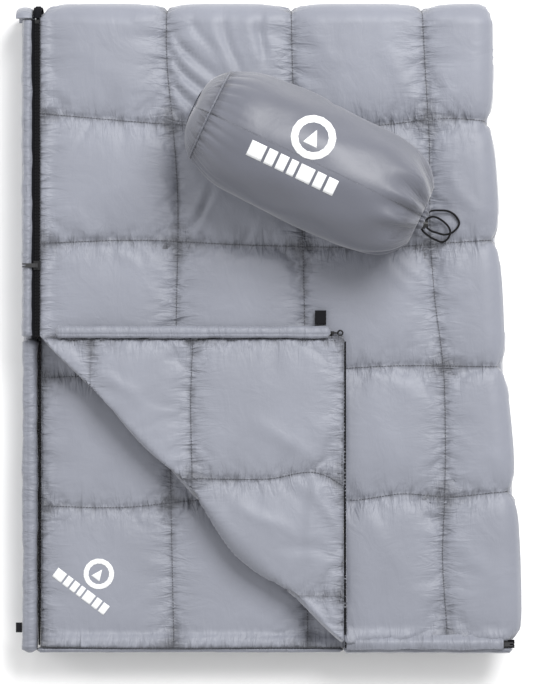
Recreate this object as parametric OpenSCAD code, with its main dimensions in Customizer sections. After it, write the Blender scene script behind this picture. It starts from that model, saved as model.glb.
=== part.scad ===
// Camp quilt, folded in half along its right side and folded under at its head end,
// with one foot corner turned back and a packed stuff sack lying on top.
// X runs across the quilt, Y from the foot to the folded head end, Z up from the ground.

/* [Quilt] */
// Loft of one layer of the quilt
layer_t = 25; // [20:1:30]
// Thickness of the shell and lining fabric as modelled
fabric_t = 0.8; // [0.5:0.1:1.2]
// Distance from the origin to the fold at the head end
head_fold_y = 440; // [435:1:445]
// Distance from the origin to the foot edge of the upper layer
foot_y = 443; // [441:1:444]
// How far the head fold bulges past its own fold line
head_bulge = 23; // [15:1:24]
// How far the turned-back corner bulges past its fold line
corner_bulge = 12; // [8:1:16]
// X plus Y of every point on the corner's diagonal fold line
corner_fold_sum = -334; // [-340:1:-328]

/* [Zips] */
// Centre of the side zip
side_zip_x = -327; // [-328:0.5:-326]
// Centre of the foot zip
foot_zip_y = -449.5; // [-450:0.5:-449]
// Distance between the teeth of a coil
tooth_pitch = 5; // [4:1:8]
// Width of a slider
slider_w = 10; // [9:0.5:10]
// Length of a slider
slider_l = 13; // [11:0.5:15]

/* [Stuff sack] */
// Length of the packed sack
sack_l = 360; // [340:5:370]
// Largest radius of the packed sack
sack_r = 88; // [80:1:90]
// Turn of the sack about the vertical
sack_turn = -25.7; // [-30:0.1:-20]
// Diameter of the drawcord
cord_d = 3; // [2.5:0.1:3.2]

/* [Hidden] */
$fn = 48;

fabric_grey = [0.60, 0.61, 0.66];
lining_grey = [0.63, 0.64, 0.69];
fill_white = [0.93, 0.93, 0.91];
hardware_black = [0.08, 0.08, 0.09];

gap = 0.3;
top_z = 4 * layer_t;
half_loft = (layer_t - gap) / 2;
cells_left = -319;
zip_seam_x = -319.2;
tube_left = -350;

// column lines as [x at the head fold, x at the foot], and row lines from head to foot
upper_columns = [[-319, -319], [-142, -125], [34, 62], [219, 257], [311, 359]];
upper_rows = [440, 297, 121, -55, -240, -443];
lower_columns = [[-319, -319], [-142, -130], [34, 62], [219, 257], [309, 355]];
lower_rows = [440, 297, 112, -70, -254, -449];
head_columns = [[-334, -334], [-142, -130], [34, 62], [219, 257], [305, 350]];
head_rows = [440, 290, 105, -80, -265, -450];

// pillow profile: how far in from the seam, as a share of area over outline, and how high
pillow = [[0, 0], [0.25, 0.65], [0.9, 1]];

// ---- outlines ----

function mix(a, b, t) = a + (b - a) * t;

function corner(columns, rows, c, r) =
    [mix(columns[c][0], columns[c][1], (head_fold_y - rows[r]) / (head_fold_y + foot_y)), rows[r]];

// the four corners of one quilted cell, anticlockwise
function cell(columns, rows, c, r) =
    [corner(columns, rows, c, r + 1), corner(columns, rows, c + 1, r + 1),
     corner(columns, rows, c + 1, r), corner(columns, rows, c, r)];

function cells(columns, rows) =
    [for (c = [0 : len(columns) - 2]) for (r = [0 : len(rows) - 2]) cell(columns, rows, c, r)];

// how far a point lies on the kept side of the diagonal fold line
function past_fold(p, keep) = keep * (p.x + p.y - corner_fold_sum) - gap;

function cut_at_fold(points, keep) =
    [for (i = [0 : len(points) - 1])
        let(a = points[i], b = points[(i + 1) % len(points)],
            da = past_fold(a, keep), db = past_fold(b, keep))
        each concat(da >= 0 ? [a] : [], da * db < 0 ? [mix(a, b, da / (da - db))] : [])];

function cut_cells(all, keep) =
    [for (c = all) let(kept = cut_at_fold(c, keep)) if (len(kept) > 2 && area(kept) > 150) kept];

function reversed(list) = [for (i = [len(list) - 1 : -1 : 0]) list[i]];

// a cell turned back over the diagonal fold line
function turned_back(points) = reversed([for (p = points) [corner_fold_sum - p.y, corner_fold_sum - p.x]]);

function area(points) =
    abs(sum([for (i = [0 : len(points) - 1])
        let(a = points[i], b = points[(i + 1) % len(points)]) a.x * b.y - a.y * b.x])) / 2;

function outline(points) =
    sum([for (i = [0 : len(points) - 1]) norm(points[(i + 1) % len(points)] - points[i])]);

function sum(list, i = 0) = i < len(list) ? list[i] + sum(list, i + 1) : 0;

function inward(a, b) = let(d = (b - a) / norm(b - a)) [-d.y, d.x];

// every edge of a convex outline moved in by the same distance
function inset(points, d) =
    [for (i = [0 : len(points) - 1])
        let(n = len(points), p = points[i],
            n1 = inward(points[(i + n - 1) % n], p), n2 = inward(p, points[(i + 1) % n]))
        p + d * (n1 + n2) / (1 + n1 * n2)];

function at_height(points, z) = [for (p = points) [p.x, p.y, z]];

// ---- quilted cells ----

// closed surface through stacked rings of equal length, first ring at the top
module stack(rings) {
    n = len(rings[0]);
    last = (len(rings) - 1) * n;
    bands = [for (k = [0 : len(rings) - 2]) for (i = [0 : n - 1])
        [k * n + i, k * n + (i + 1) % n, (k + 1) * n + (i + 1) % n, (k + 1) * n + i]];
    lid = [for (i = [n - 1 : -1 : 0]) i];
    base = [for (i = [0 : n - 1]) last + i];
    polyhedron([for (r = rings) each r], concat(bands, [lid], [base]));
}

function shortest_side(points) =
    min([for (i = [0 : len(points) - 1]) norm(points[(i + 1) % len(points)] - points[i])]);

function pillow_rings(points, z, height) =
    let(reach = min(area(points) / outline(points), 0.6 * shortest_side(points)))
    [for (p = pillow) at_height(inset(points, p[0] * reach), z + p[1] * height)];

// one cell of the outer or inner fabric, domed over the filling; up is 1 or -1
module fabric_cell(points, z, up) {
    height = half_loft - fabric_t;
    far = pillow_rings(points, z + up * fabric_t, up * height);
    near = pillow_rings(points, z, up * height);
    stack(up > 0 ? concat(reversed(far), near) : concat(reversed(near), far));
}

// one cell of the filling
module fill_cell(points, z) {
    shrunk = inset(points, 1.5);
    height = half_loft - fabric_t - 0.1;
    above = pillow_rings(shrunk, z, height);
    below = pillow_rings(shrunk, z, -height);
    stack(concat(reversed(above), [for (k = [1 : len(below) - 1]) below[k]]));
}

module fabric_sheet(all, z, up) {
    for (c = all) fabric_cell(c, z, up);
}

module fill_sheet(all, z) {
    for (c = all) fill_cell(c, z);
}

upper_cells = cut_cells(cells(upper_columns, upper_rows), 1);
corner_cells = [for (c = cut_cells(cells(upper_columns, upper_rows), -1)) turned_back(c)];
lower_cells = cells(lower_columns, lower_rows);
head_cells = cells(head_columns, head_rows);

// middle height of a layer, counted from the ground
function layer_z(k) = (k - 0.5) * layer_t - (k < 5 ? gap / 2 : -gap / 2);

// ---- foot half: the two layers that show ----

module upper_shell() { color(fabric_grey) fabric_sheet(upper_cells, layer_z(4), 1); }
module upper_fill() { color(fill_white) fill_sheet(upper_cells, layer_z(4)); }
module upper_lining() { color(lining_grey) fabric_sheet(upper_cells, layer_z(4), -1); }
module lower_lining() { color(lining_grey) fabric_sheet(lower_cells, layer_z(3), 1); }
module lower_fill() { color(fill_white) fill_sheet(lower_cells, layer_z(3)); }
module lower_shell() { color(fabric_grey) fabric_sheet(lower_cells, layer_z(3), -1); }

// ---- head half, folded under ----

module head_upper_shell() { color(fabric_grey) fabric_sheet(head_cells, layer_z(2), 1); }
module head_upper_fill() { color(fill_white) fill_sheet(head_cells, layer_z(2)); }
module head_upper_lining() { color(lining_grey) fabric_sheet(head_cells, layer_z(2), -1); }
module head_lower_lining() { color(lining_grey) fabric_sheet(head_cells, layer_z(1), 1); }
module head_lower_fill() { color(fill_white) fill_sheet(head_cells, layer_z(1)); }
module head_lower_shell() { color(fabric_grey) fabric_sheet(head_cells, layer_z(1), -1); }

// ---- corner, turned back over the upper layer ----

module corner_shell() { color(fabric_grey) fabric_sheet(corner_cells, layer_z(5), -1); }
module corner_fill() { color(fill_white) fill_sheet(corner_cells, layer_z(5)); }
module corner_lining() { color(lining_grey) fabric_sheet(corner_cells, layer_z(5), 1); }

// ---- tubes and fold rolls ----

// rectangle from low to high with round corners
module soft_rect(low, high, r) {
    for (x = [low.x + r, high.x - r]) for (y = [low.y + r, high.y - r])
        translate([x, y]) circle(r);
    translate([low.x + r, low.y]) square([high.x - low.x - 2 * r, high.y - low.y]);
    translate([low.x, low.y + r]) square([high.x - low.x, high.y - low.y - 2 * r]);
}

// a bar along Y whose section is drawn in X and Z
module along_y(from, to) {
    translate([0, to, 0]) rotate([90, 0, 0]) linear_extrude(to - from) children();
}

// a bar along X whose section is drawn in Y and Z
module along_x(from, to) {
    translate([from, 0, 0]) rotate([90, 0, 90]) linear_extrude(to - from) children();
}

tube_inner_x = -335.2;
tube_top = top_z - 2;
lower_top = 3 * layer_t - gap;
lower_base = 2 * layer_t + gap;
corner_left_y = corner_fold_sum - cells_left;
corner_edge_y = corner_left_y;
flap_right = corner_fold_sum + foot_y;
foot_tube_y = -463.6;
foot_tube_inner = -455.2;

module side_draft_tube() {
    color(lining_grey) along_y(corner_left_y, head_fold_y)
        soft_rect([tube_left, lower_base], [tube_inner_x, tube_top], 7);
}

module lower_side_tube() {
    color(lining_grey) along_y(foot_tube_y, corner_left_y - gap)
        soft_rect([tube_left, lower_base], [-329, lower_top - gap], 9);
}

module foot_draft_tube() {
    color(lining_grey) along_x(flap_right, 350)
        soft_rect([foot_tube_y, lower_base], [foot_tube_inner, tube_top - 2], 4);
}

module lower_foot_tube() {
    color(lining_grey) along_x(-328.5, flap_right - gap)
        soft_rect([foot_tube_y, lower_base], [foot_tube_inner, lower_top - gap], 4);
}

module head_side_tube() {
    color(lining_grey) along_y(-450, head_fold_y - gap)
        soft_rect([tube_left, 0], [-334.5, 2 * layer_t - gap], 7);
}

// the fabric and filling that go round the fold at the head end
module head_fold_roll() {
    r = head_bulge;
    color(fabric_grey) along_x(-345, 309) {
        for (z = [r + gap, top_z - r - gap]) translate([head_fold_y + gap, z]) intersection() {
            circle(r);
            translate([0, -r]) square([r, 2 * r]);
        }
        translate([head_fold_y + gap, r + gap]) square([r, top_z - 2 * r - 2 * gap]);
    }
}

// the fabric and filling that go round the diagonal fold of the turned-back corner
module corner_fold_roll() {
    run = sqrt(2) * (flap_right - cells_left) - 12;
    color(lining_grey) translate([cells_left, corner_left_y, 0]) rotate([0, 0, -45])
        along_x(12, run) translate([0, 3 * layer_t + gap]) intersection() {
            soft_rect([-corner_bulge, 0], [corner_bulge, 2 * layer_t - 2 * gap], corner_bulge - 1);
            translate([-corner_bulge - gap, 0]) square([corner_bulge, 2 * layer_t]);
        }
}

tube_bottom_z = top_z + 11;

module corner_draft_tube() {
    color(lining_grey) along_x(-300, 90)
        soft_rect([corner_edge_y + gap, tube_bottom_z], [corner_edge_y + 18, tube_bottom_z + 13], 6);
}

// ---- zips ----

tape_z = 92.4;
tape_t = 0.8;
coil_t = 2.4;
coil_w = 2.6;
coil_half_gap = 0.8;
coil_base_z = tape_z + tape_t;

// side view of a coil: a low bar with a rounded tooth at every pitch
module coil_profile(length) {
    teeth = floor(length / tooth_pitch);
    points = [for (k = [0 : teeth - 1]) each
        [[k * tooth_pitch, 0.7 * coil_t], [(k + 0.2) * tooth_pitch, coil_t],
         [(k + 0.6) * tooth_pitch, coil_t], [(k + 0.8) * tooth_pitch, 0.7 * coil_t]]];
    polygon(concat([[0, 0]], points, [[length, 0.7 * coil_t], [length, 0]]));
}

// a coil of the given length along +Y, from its inner edge out to +X
module coil(length) {
    rotate([90, 0, 90]) linear_extrude(coil_w) coil_profile(length);
}

side_zip_l = head_fold_y - corner_left_y - 2;

module side_coil_inner() {
    color(hardware_black) translate([side_zip_x + coil_half_gap, corner_left_y + 1, coil_base_z])
        coil(side_zip_l);
}

module side_coil_outer() {
    color(hardware_black) translate([side_zip_x - coil_half_gap, corner_left_y + 1, coil_base_z])
        mirror([1, 0, 0]) coil(side_zip_l);
}

module side_tape_inner() {
    color(lining_grey) translate([side_zip_x + coil_half_gap, corner_left_y + 1, tape_z])
        cube([zip_seam_x - side_zip_x - coil_half_gap, side_zip_l, tape_t]);
}

module side_tape_outer() {
    color(lining_grey) translate([tube_inner_x, corner_left_y + 1, tape_z])
        cube([side_zip_x - coil_half_gap - tube_inner_x, side_zip_l, tape_t]);
}

// the sewn stop across both coils at the head end of the side zip
module side_top_stop() {
    color(hardware_black) translate([side_zip_x - 3, head_fold_y - 7, coil_base_z + coil_t])
        cube([6, 5, 1.2]);
}

module lower_side_coil() {
    length = corner_left_y - foot_tube_inner - 6;
    color(hardware_black) translate([-326, foot_tube_inner + 3, lower_top - coil_t]) coil(length);
}

foot_zip_from = flap_right + 2;
foot_zip_to = 352;
foot_zip_l = foot_zip_to - foot_zip_from;

// a piece drawn along +Y is laid along +X at the foot, with its +X side towards the foot
module at_foot_zip(from = foot_zip_from) {
    translate([from, foot_zip_y, 0]) rotate([0, 0, -90]) children();
}

module foot_coil_inner() {
    color(hardware_black) at_foot_zip() translate([-coil_half_gap, 0, coil_base_z])
        mirror([1, 0, 0]) coil(foot_zip_l);
}

module foot_coil_outer() {
    color(hardware_black) at_foot_zip() translate([coil_half_gap, 0, coil_base_z]) coil(foot_zip_l);
}

module foot_tape_inner() {
    color(lining_grey) translate([foot_zip_from, foot_zip_y + coil_half_gap, tape_z])
        cube([foot_zip_l, -foot_y - gap - foot_zip_y - coil_half_gap, tape_t]);
}

module foot_tape_outer() {
    color(lining_grey) translate([foot_zip_from, foot_tube_inner, tape_z])
        cube([foot_zip_l, foot_zip_y - coil_half_gap - foot_tube_inner, tape_t]);
}

module lower_foot_coil() {
    length = flap_right - cells_left - 6;
    color(hardware_black) translate([cells_left + 2, -452, lower_top - coil_t])
        rotate([0, 0, -90]) mirror([1, 0, 0]) coil(length);
}

// zip halves on the turned-back corner, seen from their inner side
corner_coil_y = corner_edge_y + 8;
corner_tape_z = top_z + 1.9;
corner_coil_to = 92;
corner_coil_from = -290;

module corner_side_tape() {
    color(lining_grey) translate([corner_coil_from, corner_edge_y + gap, corner_tape_z])
        cube([corner_coil_to - corner_coil_from, corner_coil_y + coil_w / 2 - corner_edge_y - gap, tape_t]);
}

module corner_side_coil() {
    color(hardware_black)
        translate([corner_coil_from, corner_coil_y + coil_w / 2, corner_tape_z + tape_t])
        rotate([0, 0, -90]) coil(corner_coil_to - corner_coil_from);
}

module corner_foot_coil() {
    color(hardware_black) translate([flap_right + 0.5, -foot_y + 8, layer_z(5) - coil_t / 2])
        coil(foot_y + corner_edge_y - 12);
}

// ---- sliders ----

plate_t = 1.2;
play = 0.4;
bail_r = 0.8;
bail_z = coil_base_z + coil_t + play + plate_t + 2.2;
post_w = 1;

// a slider round two coils, centred on the zip, chain along Y
module slider_body(chain_z, chain_h) {
    low = chain_z - tape_t - play - plate_t;
    high = chain_z + chain_h + play;
    for (z = [low, high]) translate([-slider_w / 2, -slider_l / 2, z])
        cube([slider_w, slider_l, plate_t]);
    translate([-post_w / 2, -slider_l / 4, low + plate_t]) cube([post_w, slider_l / 2, high - low - plate_t]);
    for (side = [-1, 1]) translate([side * (slider_w / 2 - 0.4) - 0.4, -slider_l / 2, chain_z + play])
        cube([0.8, slider_l, high - chain_z - play]);
}

// the pin that a pull turns on, along Y, with its two lugs
module bail(base_z, pin_z, length) {
    for (end = [-1, 1]) translate([-1.5, end * (length / 2 - 0.6) - 0.6, base_z])
        cube([3, 1.2, pin_z - base_z + 1]);
    translate([0, length / 2, pin_z]) rotate([90, 0, 0]) cylinder(r = bail_r, h = length);
}

// a flat pull with a forked end, pointing to -X from its pin along Y
module pull(pin_z, reach, width) {
    translate([0, 0, pin_z]) difference() {
        union() {
            translate([0, 3, 0]) rotate([90, 0, 0]) cylinder(r = 1.6, h = 6);
            translate([-reach, -width / 2, -0.7]) cube([reach - 1, width, 1.4]);
        }
        translate([0, 4, 0]) rotate([90, 0, 0]) cylinder(r = bail_r + 0.06, h = 8);
        translate([-reach - 1, -1, -1]) cube([6, 2, 2]);
    }
}

side_slider_y = 89;
foot_slider_x = 336;
top_plate_z = coil_base_z + coil_t + play + plate_t;

module side_slider() {
    color(hardware_black) translate([side_zip_x, side_slider_y, 0]) {
        slider_body(coil_base_z, coil_t);
        bail(top_plate_z, bail_z, 9);
    }
}

module side_pull() {
    color(hardware_black) translate([side_zip_x, side_slider_y, 0]) pull(bail_z, 21, 5.8);
}

module foot_slider() {
    color(hardware_black) translate([foot_slider_x, foot_zip_y, 0]) {
        rotate([0, 0, 90]) slider_body(coil_base_z, coil_t);
        bail(top_plate_z, bail_z, 9);
    }
}

module foot_pull() {
    color(hardware_black) translate([foot_slider_x, foot_zip_y, 0]) mirror([1, 0, 0]) pull(bail_z, 14, 5.8);
}

corner_slider_x = 83;
corner_pin_x = 10;
corner_plate_z = corner_tape_z + tape_t + coil_t + play;
corner_ring_z = corner_plate_z + plate_t + 1.4;

// the slider left on the inner coil when the corner is turned back, with a swivel stud at its front
module corner_slider() {
    low = corner_tape_z - play - plate_t + 0.1;
    stud_top = corner_ring_z + 1.3;
    color(hardware_black) translate([corner_slider_x, corner_coil_y, 0]) {
        for (z = [low, corner_plate_z]) translate([-slider_l / 2, -slider_w / 2, z])
            cube([slider_l, slider_w, plate_t]);
        translate([-slider_l / 4, 2, low]) cube([slider_l / 2, post_w, corner_plate_z - low]);
        translate([slider_l / 2 - 1, -2.4, corner_plate_z]) cube([corner_pin_x - slider_l / 2 + 3.4, 4.8, plate_t]);
        translate([corner_pin_x, 0, corner_plate_z]) cylinder(r = bail_r, h = stud_top - corner_plate_z);
        translate([corner_pin_x, 0, stud_top]) cylinder(r = 1.9, h = 0.7);
    }
}

// strap and ring that swivel on the corner slider's stud
module corner_ring_pull() {
    ring_r = 3.4;
    color(hardware_black) translate([corner_slider_x + corner_pin_x, corner_coil_y, corner_ring_z]) {
        difference() {
            union() {
                translate([0, 0, -1]) cylinder(r = 2.1, h = 2);
                translate([1, -1.2, -0.7]) cube([ring_r + 4, 2.4, 1.4]);
            }
            translate([0, 0, -2]) cylinder(r = bail_r + 0.06, h = 4);
            translate([11, 0, -2]) cylinder(r = ring_r, h = 4);
        }
        translate([11, 0, 0]) rotate_extrude() translate([ring_r, 0]) circle(1.2);
    }
}

// ---- tabs ----

tab_x = 68;
tab_w = 16;
tab_t = 1.6;
tab_z = 103;
tab_hinge_y = corner_edge_y + 21;

module corner_tab_base() {
    color(hardware_black) translate([tab_x, corner_coil_y + slider_w / 2 + 1, tab_z - tab_t / 2])
        cube([tab_w, tab_hinge_y - 1.2 - corner_coil_y - slider_w / 2 - 1, tab_t]);
}

module corner_tab() {
    color(hardware_black) {
        translate([tab_x, tab_hinge_y, tab_z]) rotate([0, 90, 0]) cylinder(r = tab_t / 2, h = tab_w);
        translate([tab_x, tab_hinge_y, tab_z - tab_t / 2]) cube([tab_w, 19, tab_t]);
    }
}

// the matching tab on the lower layer's left edge
module edge_tab() {
    color(hardware_black) translate([-359, -435, 61]) cube([8.9, 14, tab_t]);
}

// ---- stuff sack ----

sack_centre = [60, 231];
sack_z = top_z + gap + sack_r;
base_l = 26;

// radius of the packed sack at distance s from its base
function sack_radius(s) =
    s < 60 ? 66 + 16 * sin(90 * (s - base_l) / (60 - base_l)) :
    s < 110 ? 82 + 6 * sin(90 * (s - 60) / 50) :
    s < 250 ? 88 :
    88 * sqrt(max(0, 1 - pow((s - 250) / 112, 2.4)));

tube_stations = [base_l, 34, 46, 60, 75, 92, 110, 180, 250, 275, 295, 312, 326, 337, 346];

// a solid of revolution whose section runs from the base along the sack's own axis
module along_sack() {
    translate([sack_centre.x, sack_centre.y, sack_z]) rotate([0, 0, sack_turn])
        translate([-sack_l / 2, 0, 0]) rotate([0, 90, 0]) children();
}

function sack_section(inner) =
    [for (s = tube_stations) [sack_radius(s) - inner, s]];

module sack_tube() {
    color(fabric_grey) along_sack() rotate_extrude()
        polygon(concat(sack_section(0), reversed(sack_section(1))));
}

module packed_bundle() {
    first = tube_stations[0];
    last = tube_stations[len(tube_stations) - 1];
    color(fill_white) along_sack() rotate_extrude()
        polygon(concat([[0, first]], sack_section(1.3), [[0, last]]));
}

// gathered round base, a shallow dome
module sack_base() {
    r = 65;
    color(fabric_grey) along_sack() rotate_extrude()
        polygon([[0, 2], [22, 3], [42, 7], [56, 14], [r, 23], [r, 25.6], [56, 19], [42, 12], [22, 8], [0, 7]]);
}

// piping in the seam between the base and the tube
module sack_base_piping() {
    color(fabric_grey) along_sack() rotate_extrude() translate([sack_radius(base_l) + 2.1, base_l - 1]) circle(2);
}

// webbing strap sewn across the base
module sack_grab_strap() {
    color(fabric_grey) along_sack() translate([-30, -10, -1.2]) cube([60, 20, 2.4]);
}

channel_r = 12;

// gathered hem at the mouth that the drawcord runs through
module sack_channel() {
    color(fabric_grey) along_sack() translate([0, 0, sack_l - 7]) rotate_extrude()
        translate([channel_r, 0]) circle(5.5);
}

// ---- drawcord and its lock ----

lock_x = 211;
lock_y = 147;
lock_z = 122;
strand = 2;

// the free cord: down from the channel, through the lock, round two loops on the quilt and back
cord_route = [
    [217, 158, 172], [217, 156, 160], [217.5, 151, 146], [218, 149, 134], [218, 149, 114],
    [218, 147, 109], [219, 142, 104.5], [223, 136, 102.2], [232, 129, 102], [240, 125, 102],
    [248, 122, 102.3], [255, 125, 103.6], [259, 131, 105.6], [260, 137, 105.8], [258, 143, 104.4],
    [253, 149, 102.6], [245, 155, 102], [237, 158, 102], [229, 156, 102], [225, 150, 102],
    [227, 143, 102], [233, 138, 102], [242, 135, 102], [252, 132.5, 102], [262, 135, 102],
    [270, 142, 102], [273, 150, 102], [267, 160, 102], [257, 166, 102], [244, 167, 102],
    [232, 166, 102], [223, 161, 102.4], [217, 154, 104.5], [215.5, 148, 108.5], [217, 145, 114],
    [218, 145, 121], [218, 145, 134], [217, 148, 147], [215.5, 152, 160], [215, 154, 172]];

cord_sides = 8;

function tangent(route, i) =
    let(a = route[max(i - 1, 0)], b = route[min(i + 1, len(route) - 1)]) (b - a) / norm(b - a);

// a direction square to the route, carried along it from ring to ring without twisting
function carried(route, i, last) =
    let(t = tangent(route, i), side = last - (last * t) * t) side / norm(side);

function sides_of(route, i = 0, last = [1, 0, 0]) =
    i == len(route) ? [] : let(s = carried(route, i, last)) concat([s], sides_of(route, i + 1, s));

// a round cord swept along a route
module swept_cord(route, d) {
    sides = sides_of(route);
    rings = [for (i = [0 : len(route) - 1]) let(t = tangent(route, i), u = sides[i], v = cross(t, u))
        [for (k = [0 : cord_sides - 1]) let(a = -360 * k / cord_sides)
            route[i] + d / 2 * (cos(a) * u + sin(a) * v)]];
    stack(rings);
}

module drawcord() { color(hardware_black) swept_cord(cord_route, cord_d); }

// the lock's barrel lies along X, and the cord passes down through it
module cord_lock_barrel() {
    color(hardware_black) translate([lock_x, lock_y, lock_z]) difference() {
        rotate([0, 90, 0]) cylinder(r = 6.8, h = 13);
        translate([1.2, 0, 0]) rotate([0, 90, 0]) cylinder(r = 5.1, h = 13);
        translate([4, -4, -8]) cube([6, 8, 16]);
    }
}

module cord_lock_plunger() {
    color(hardware_black) translate([lock_x, lock_y, lock_z]) difference() {
        rotate([0, 90, 0]) translate([0, 0, 3.6]) cylinder(r = 5.05, h = 13.4);
        translate([5, -3.8, -8]) cube([7, 7.6, 16]);
    }
}

module cord_lock_spring() {
    color([0.75, 0.75, 0.77]) for (x = [1.8, 3])
        translate([lock_x + x, lock_y, lock_z]) rotate([0, 90, 0])
            rotate_extrude() translate([3.6, 0]) circle(0.4);
}

upper_shell();
upper_fill();
upper_lining();
lower_shell();
lower_fill();
lower_lining();
head_upper_shell();
head_upper_fill();
head_upper_lining();
head_lower_shell();
head_lower_fill();
head_lower_lining();
head_side_tube();
head_fold_roll();
corner_shell();
corner_fill();
corner_lining();
corner_fold_roll();
corner_draft_tube();
side_draft_tube();
lower_side_tube();
foot_draft_tube();
lower_foot_tube();
side_tape_inner();
side_tape_outer();
side_coil_inner();
side_coil_outer();
side_top_stop();
lower_side_coil();
foot_tape_inner();
foot_tape_outer();
foot_coil_inner();
foot_coil_outer();
lower_foot_coil();
corner_side_tape();
corner_side_coil();
corner_foot_coil();
side_slider();
side_pull();
foot_slider();
foot_pull();
corner_slider();
corner_ring_pull();
corner_tab_base();
corner_tab();
edge_tab();
sack_tube();
sack_base();
sack_base_piping();
sack_grab_strap();
sack_channel();
packed_bundle();
drawcord();
cord_lock_barrel();
cord_lock_plunger();
cord_lock_spring();
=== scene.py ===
"""Camp quilt lying folded, one corner turned back, with its packed stuff sack on top."""
import logging
from dataclasses import dataclass
from enum import Enum
from itertools import product
from math import pi, radians
from typing import Callable, ClassVar, Sequence

import bpy
import numpy as np
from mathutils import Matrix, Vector
from mathutils.bvhtree import BVHTree


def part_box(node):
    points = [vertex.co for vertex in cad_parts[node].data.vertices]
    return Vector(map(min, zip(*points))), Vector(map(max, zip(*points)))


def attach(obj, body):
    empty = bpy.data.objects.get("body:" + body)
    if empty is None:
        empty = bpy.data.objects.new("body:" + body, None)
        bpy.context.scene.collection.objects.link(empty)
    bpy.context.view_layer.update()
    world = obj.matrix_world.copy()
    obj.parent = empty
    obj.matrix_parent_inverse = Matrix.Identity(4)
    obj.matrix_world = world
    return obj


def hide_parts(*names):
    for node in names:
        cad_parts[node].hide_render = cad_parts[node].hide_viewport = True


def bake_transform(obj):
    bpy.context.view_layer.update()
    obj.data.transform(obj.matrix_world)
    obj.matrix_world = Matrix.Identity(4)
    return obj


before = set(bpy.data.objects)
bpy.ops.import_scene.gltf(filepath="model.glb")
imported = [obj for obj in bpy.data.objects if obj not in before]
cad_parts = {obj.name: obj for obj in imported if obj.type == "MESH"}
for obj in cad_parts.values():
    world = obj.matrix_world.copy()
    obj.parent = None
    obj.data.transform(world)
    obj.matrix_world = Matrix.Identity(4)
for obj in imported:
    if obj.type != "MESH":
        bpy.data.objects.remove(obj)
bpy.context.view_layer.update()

MM = 0.001
LOG = logging.getLogger("quilt")

SEAM_Z = {1: 12.5, 2: 37.5, 3: 62.5, 4: 87.5, 5: 112.5}
DIAGONAL = -334.0
HEAD_Y = 440.0
ROLL_FLAT = 85.0
MIDDLE_Z = 50.0
TOP_Z = 100.0
SIDE_CHAIN_X = -327.0
FOOT_CHAIN_Y = -449.5
STRIP_CRIMP = (0.4, 0.1, 0.3)
Knots = tuple[Sequence[float], Sequence[float]]


class Body(Enum):
    """Bodies that pieces ride on."""

    ROOT = "root"
    HEAD = "head_half"
    CORNER = "turned_corner"
    SACK = "sack"


class Slot(Enum):
    """Material slots of the part."""

    SHELL = "shell_fabric"
    LINING = "lining_fabric"
    TUBE = "draft_tube_fabric"
    TAPE = "zip_tape"
    COIL = "zip_coil"
    METAL = "slider_metal"
    PULL = "pull_cover"
    HOOK = "hook_and_loop"
    SACK = "sack_fabric"
    CORD = "cord"
    LOCK = "lock_plastic"
    SPRING = "spring_steel"
    FILL = "insulation"


# ---------------------------------------------------------------- finishes


def add_node(tree: bpy.types.NodeTree, kind: str, inputs: dict, **settings: object) -> bpy.types.Node:
    """Adds a shader node and joins it up.

    Args:
        tree: The material's node tree.
        kind: Kind of node.
        inputs: A value or another node's output for each input that is set.
        settings: The node's own settings.

    Returns:
        The new node.
    """
    node = tree.nodes.new("ShaderNode" + kind)
    for name, value in settings.items():
        setattr(node, name, value)
    for key, value in inputs.items():
        if isinstance(value, bpy.types.NodeSocket):
            tree.links.new(value, node.inputs[key])
        else:
            node.inputs[key].default_value = value
    return node


def new_material(name: str, sockets: dict[str, object]) -> tuple[bpy.types.Material, bpy.types.Node]:
    """Starts a material.

    Args:
        name: Material name.
        sockets: Values for the shader's own sockets.

    Returns:
        The material and its shader.
    """
    material = bpy.data.materials.new(name)
    material.use_nodes = True
    shader = material.node_tree.nodes["Principled BSDF"]
    for key, value in sockets.items():
        shader.inputs[key].default_value = value
    return material, shader


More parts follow.
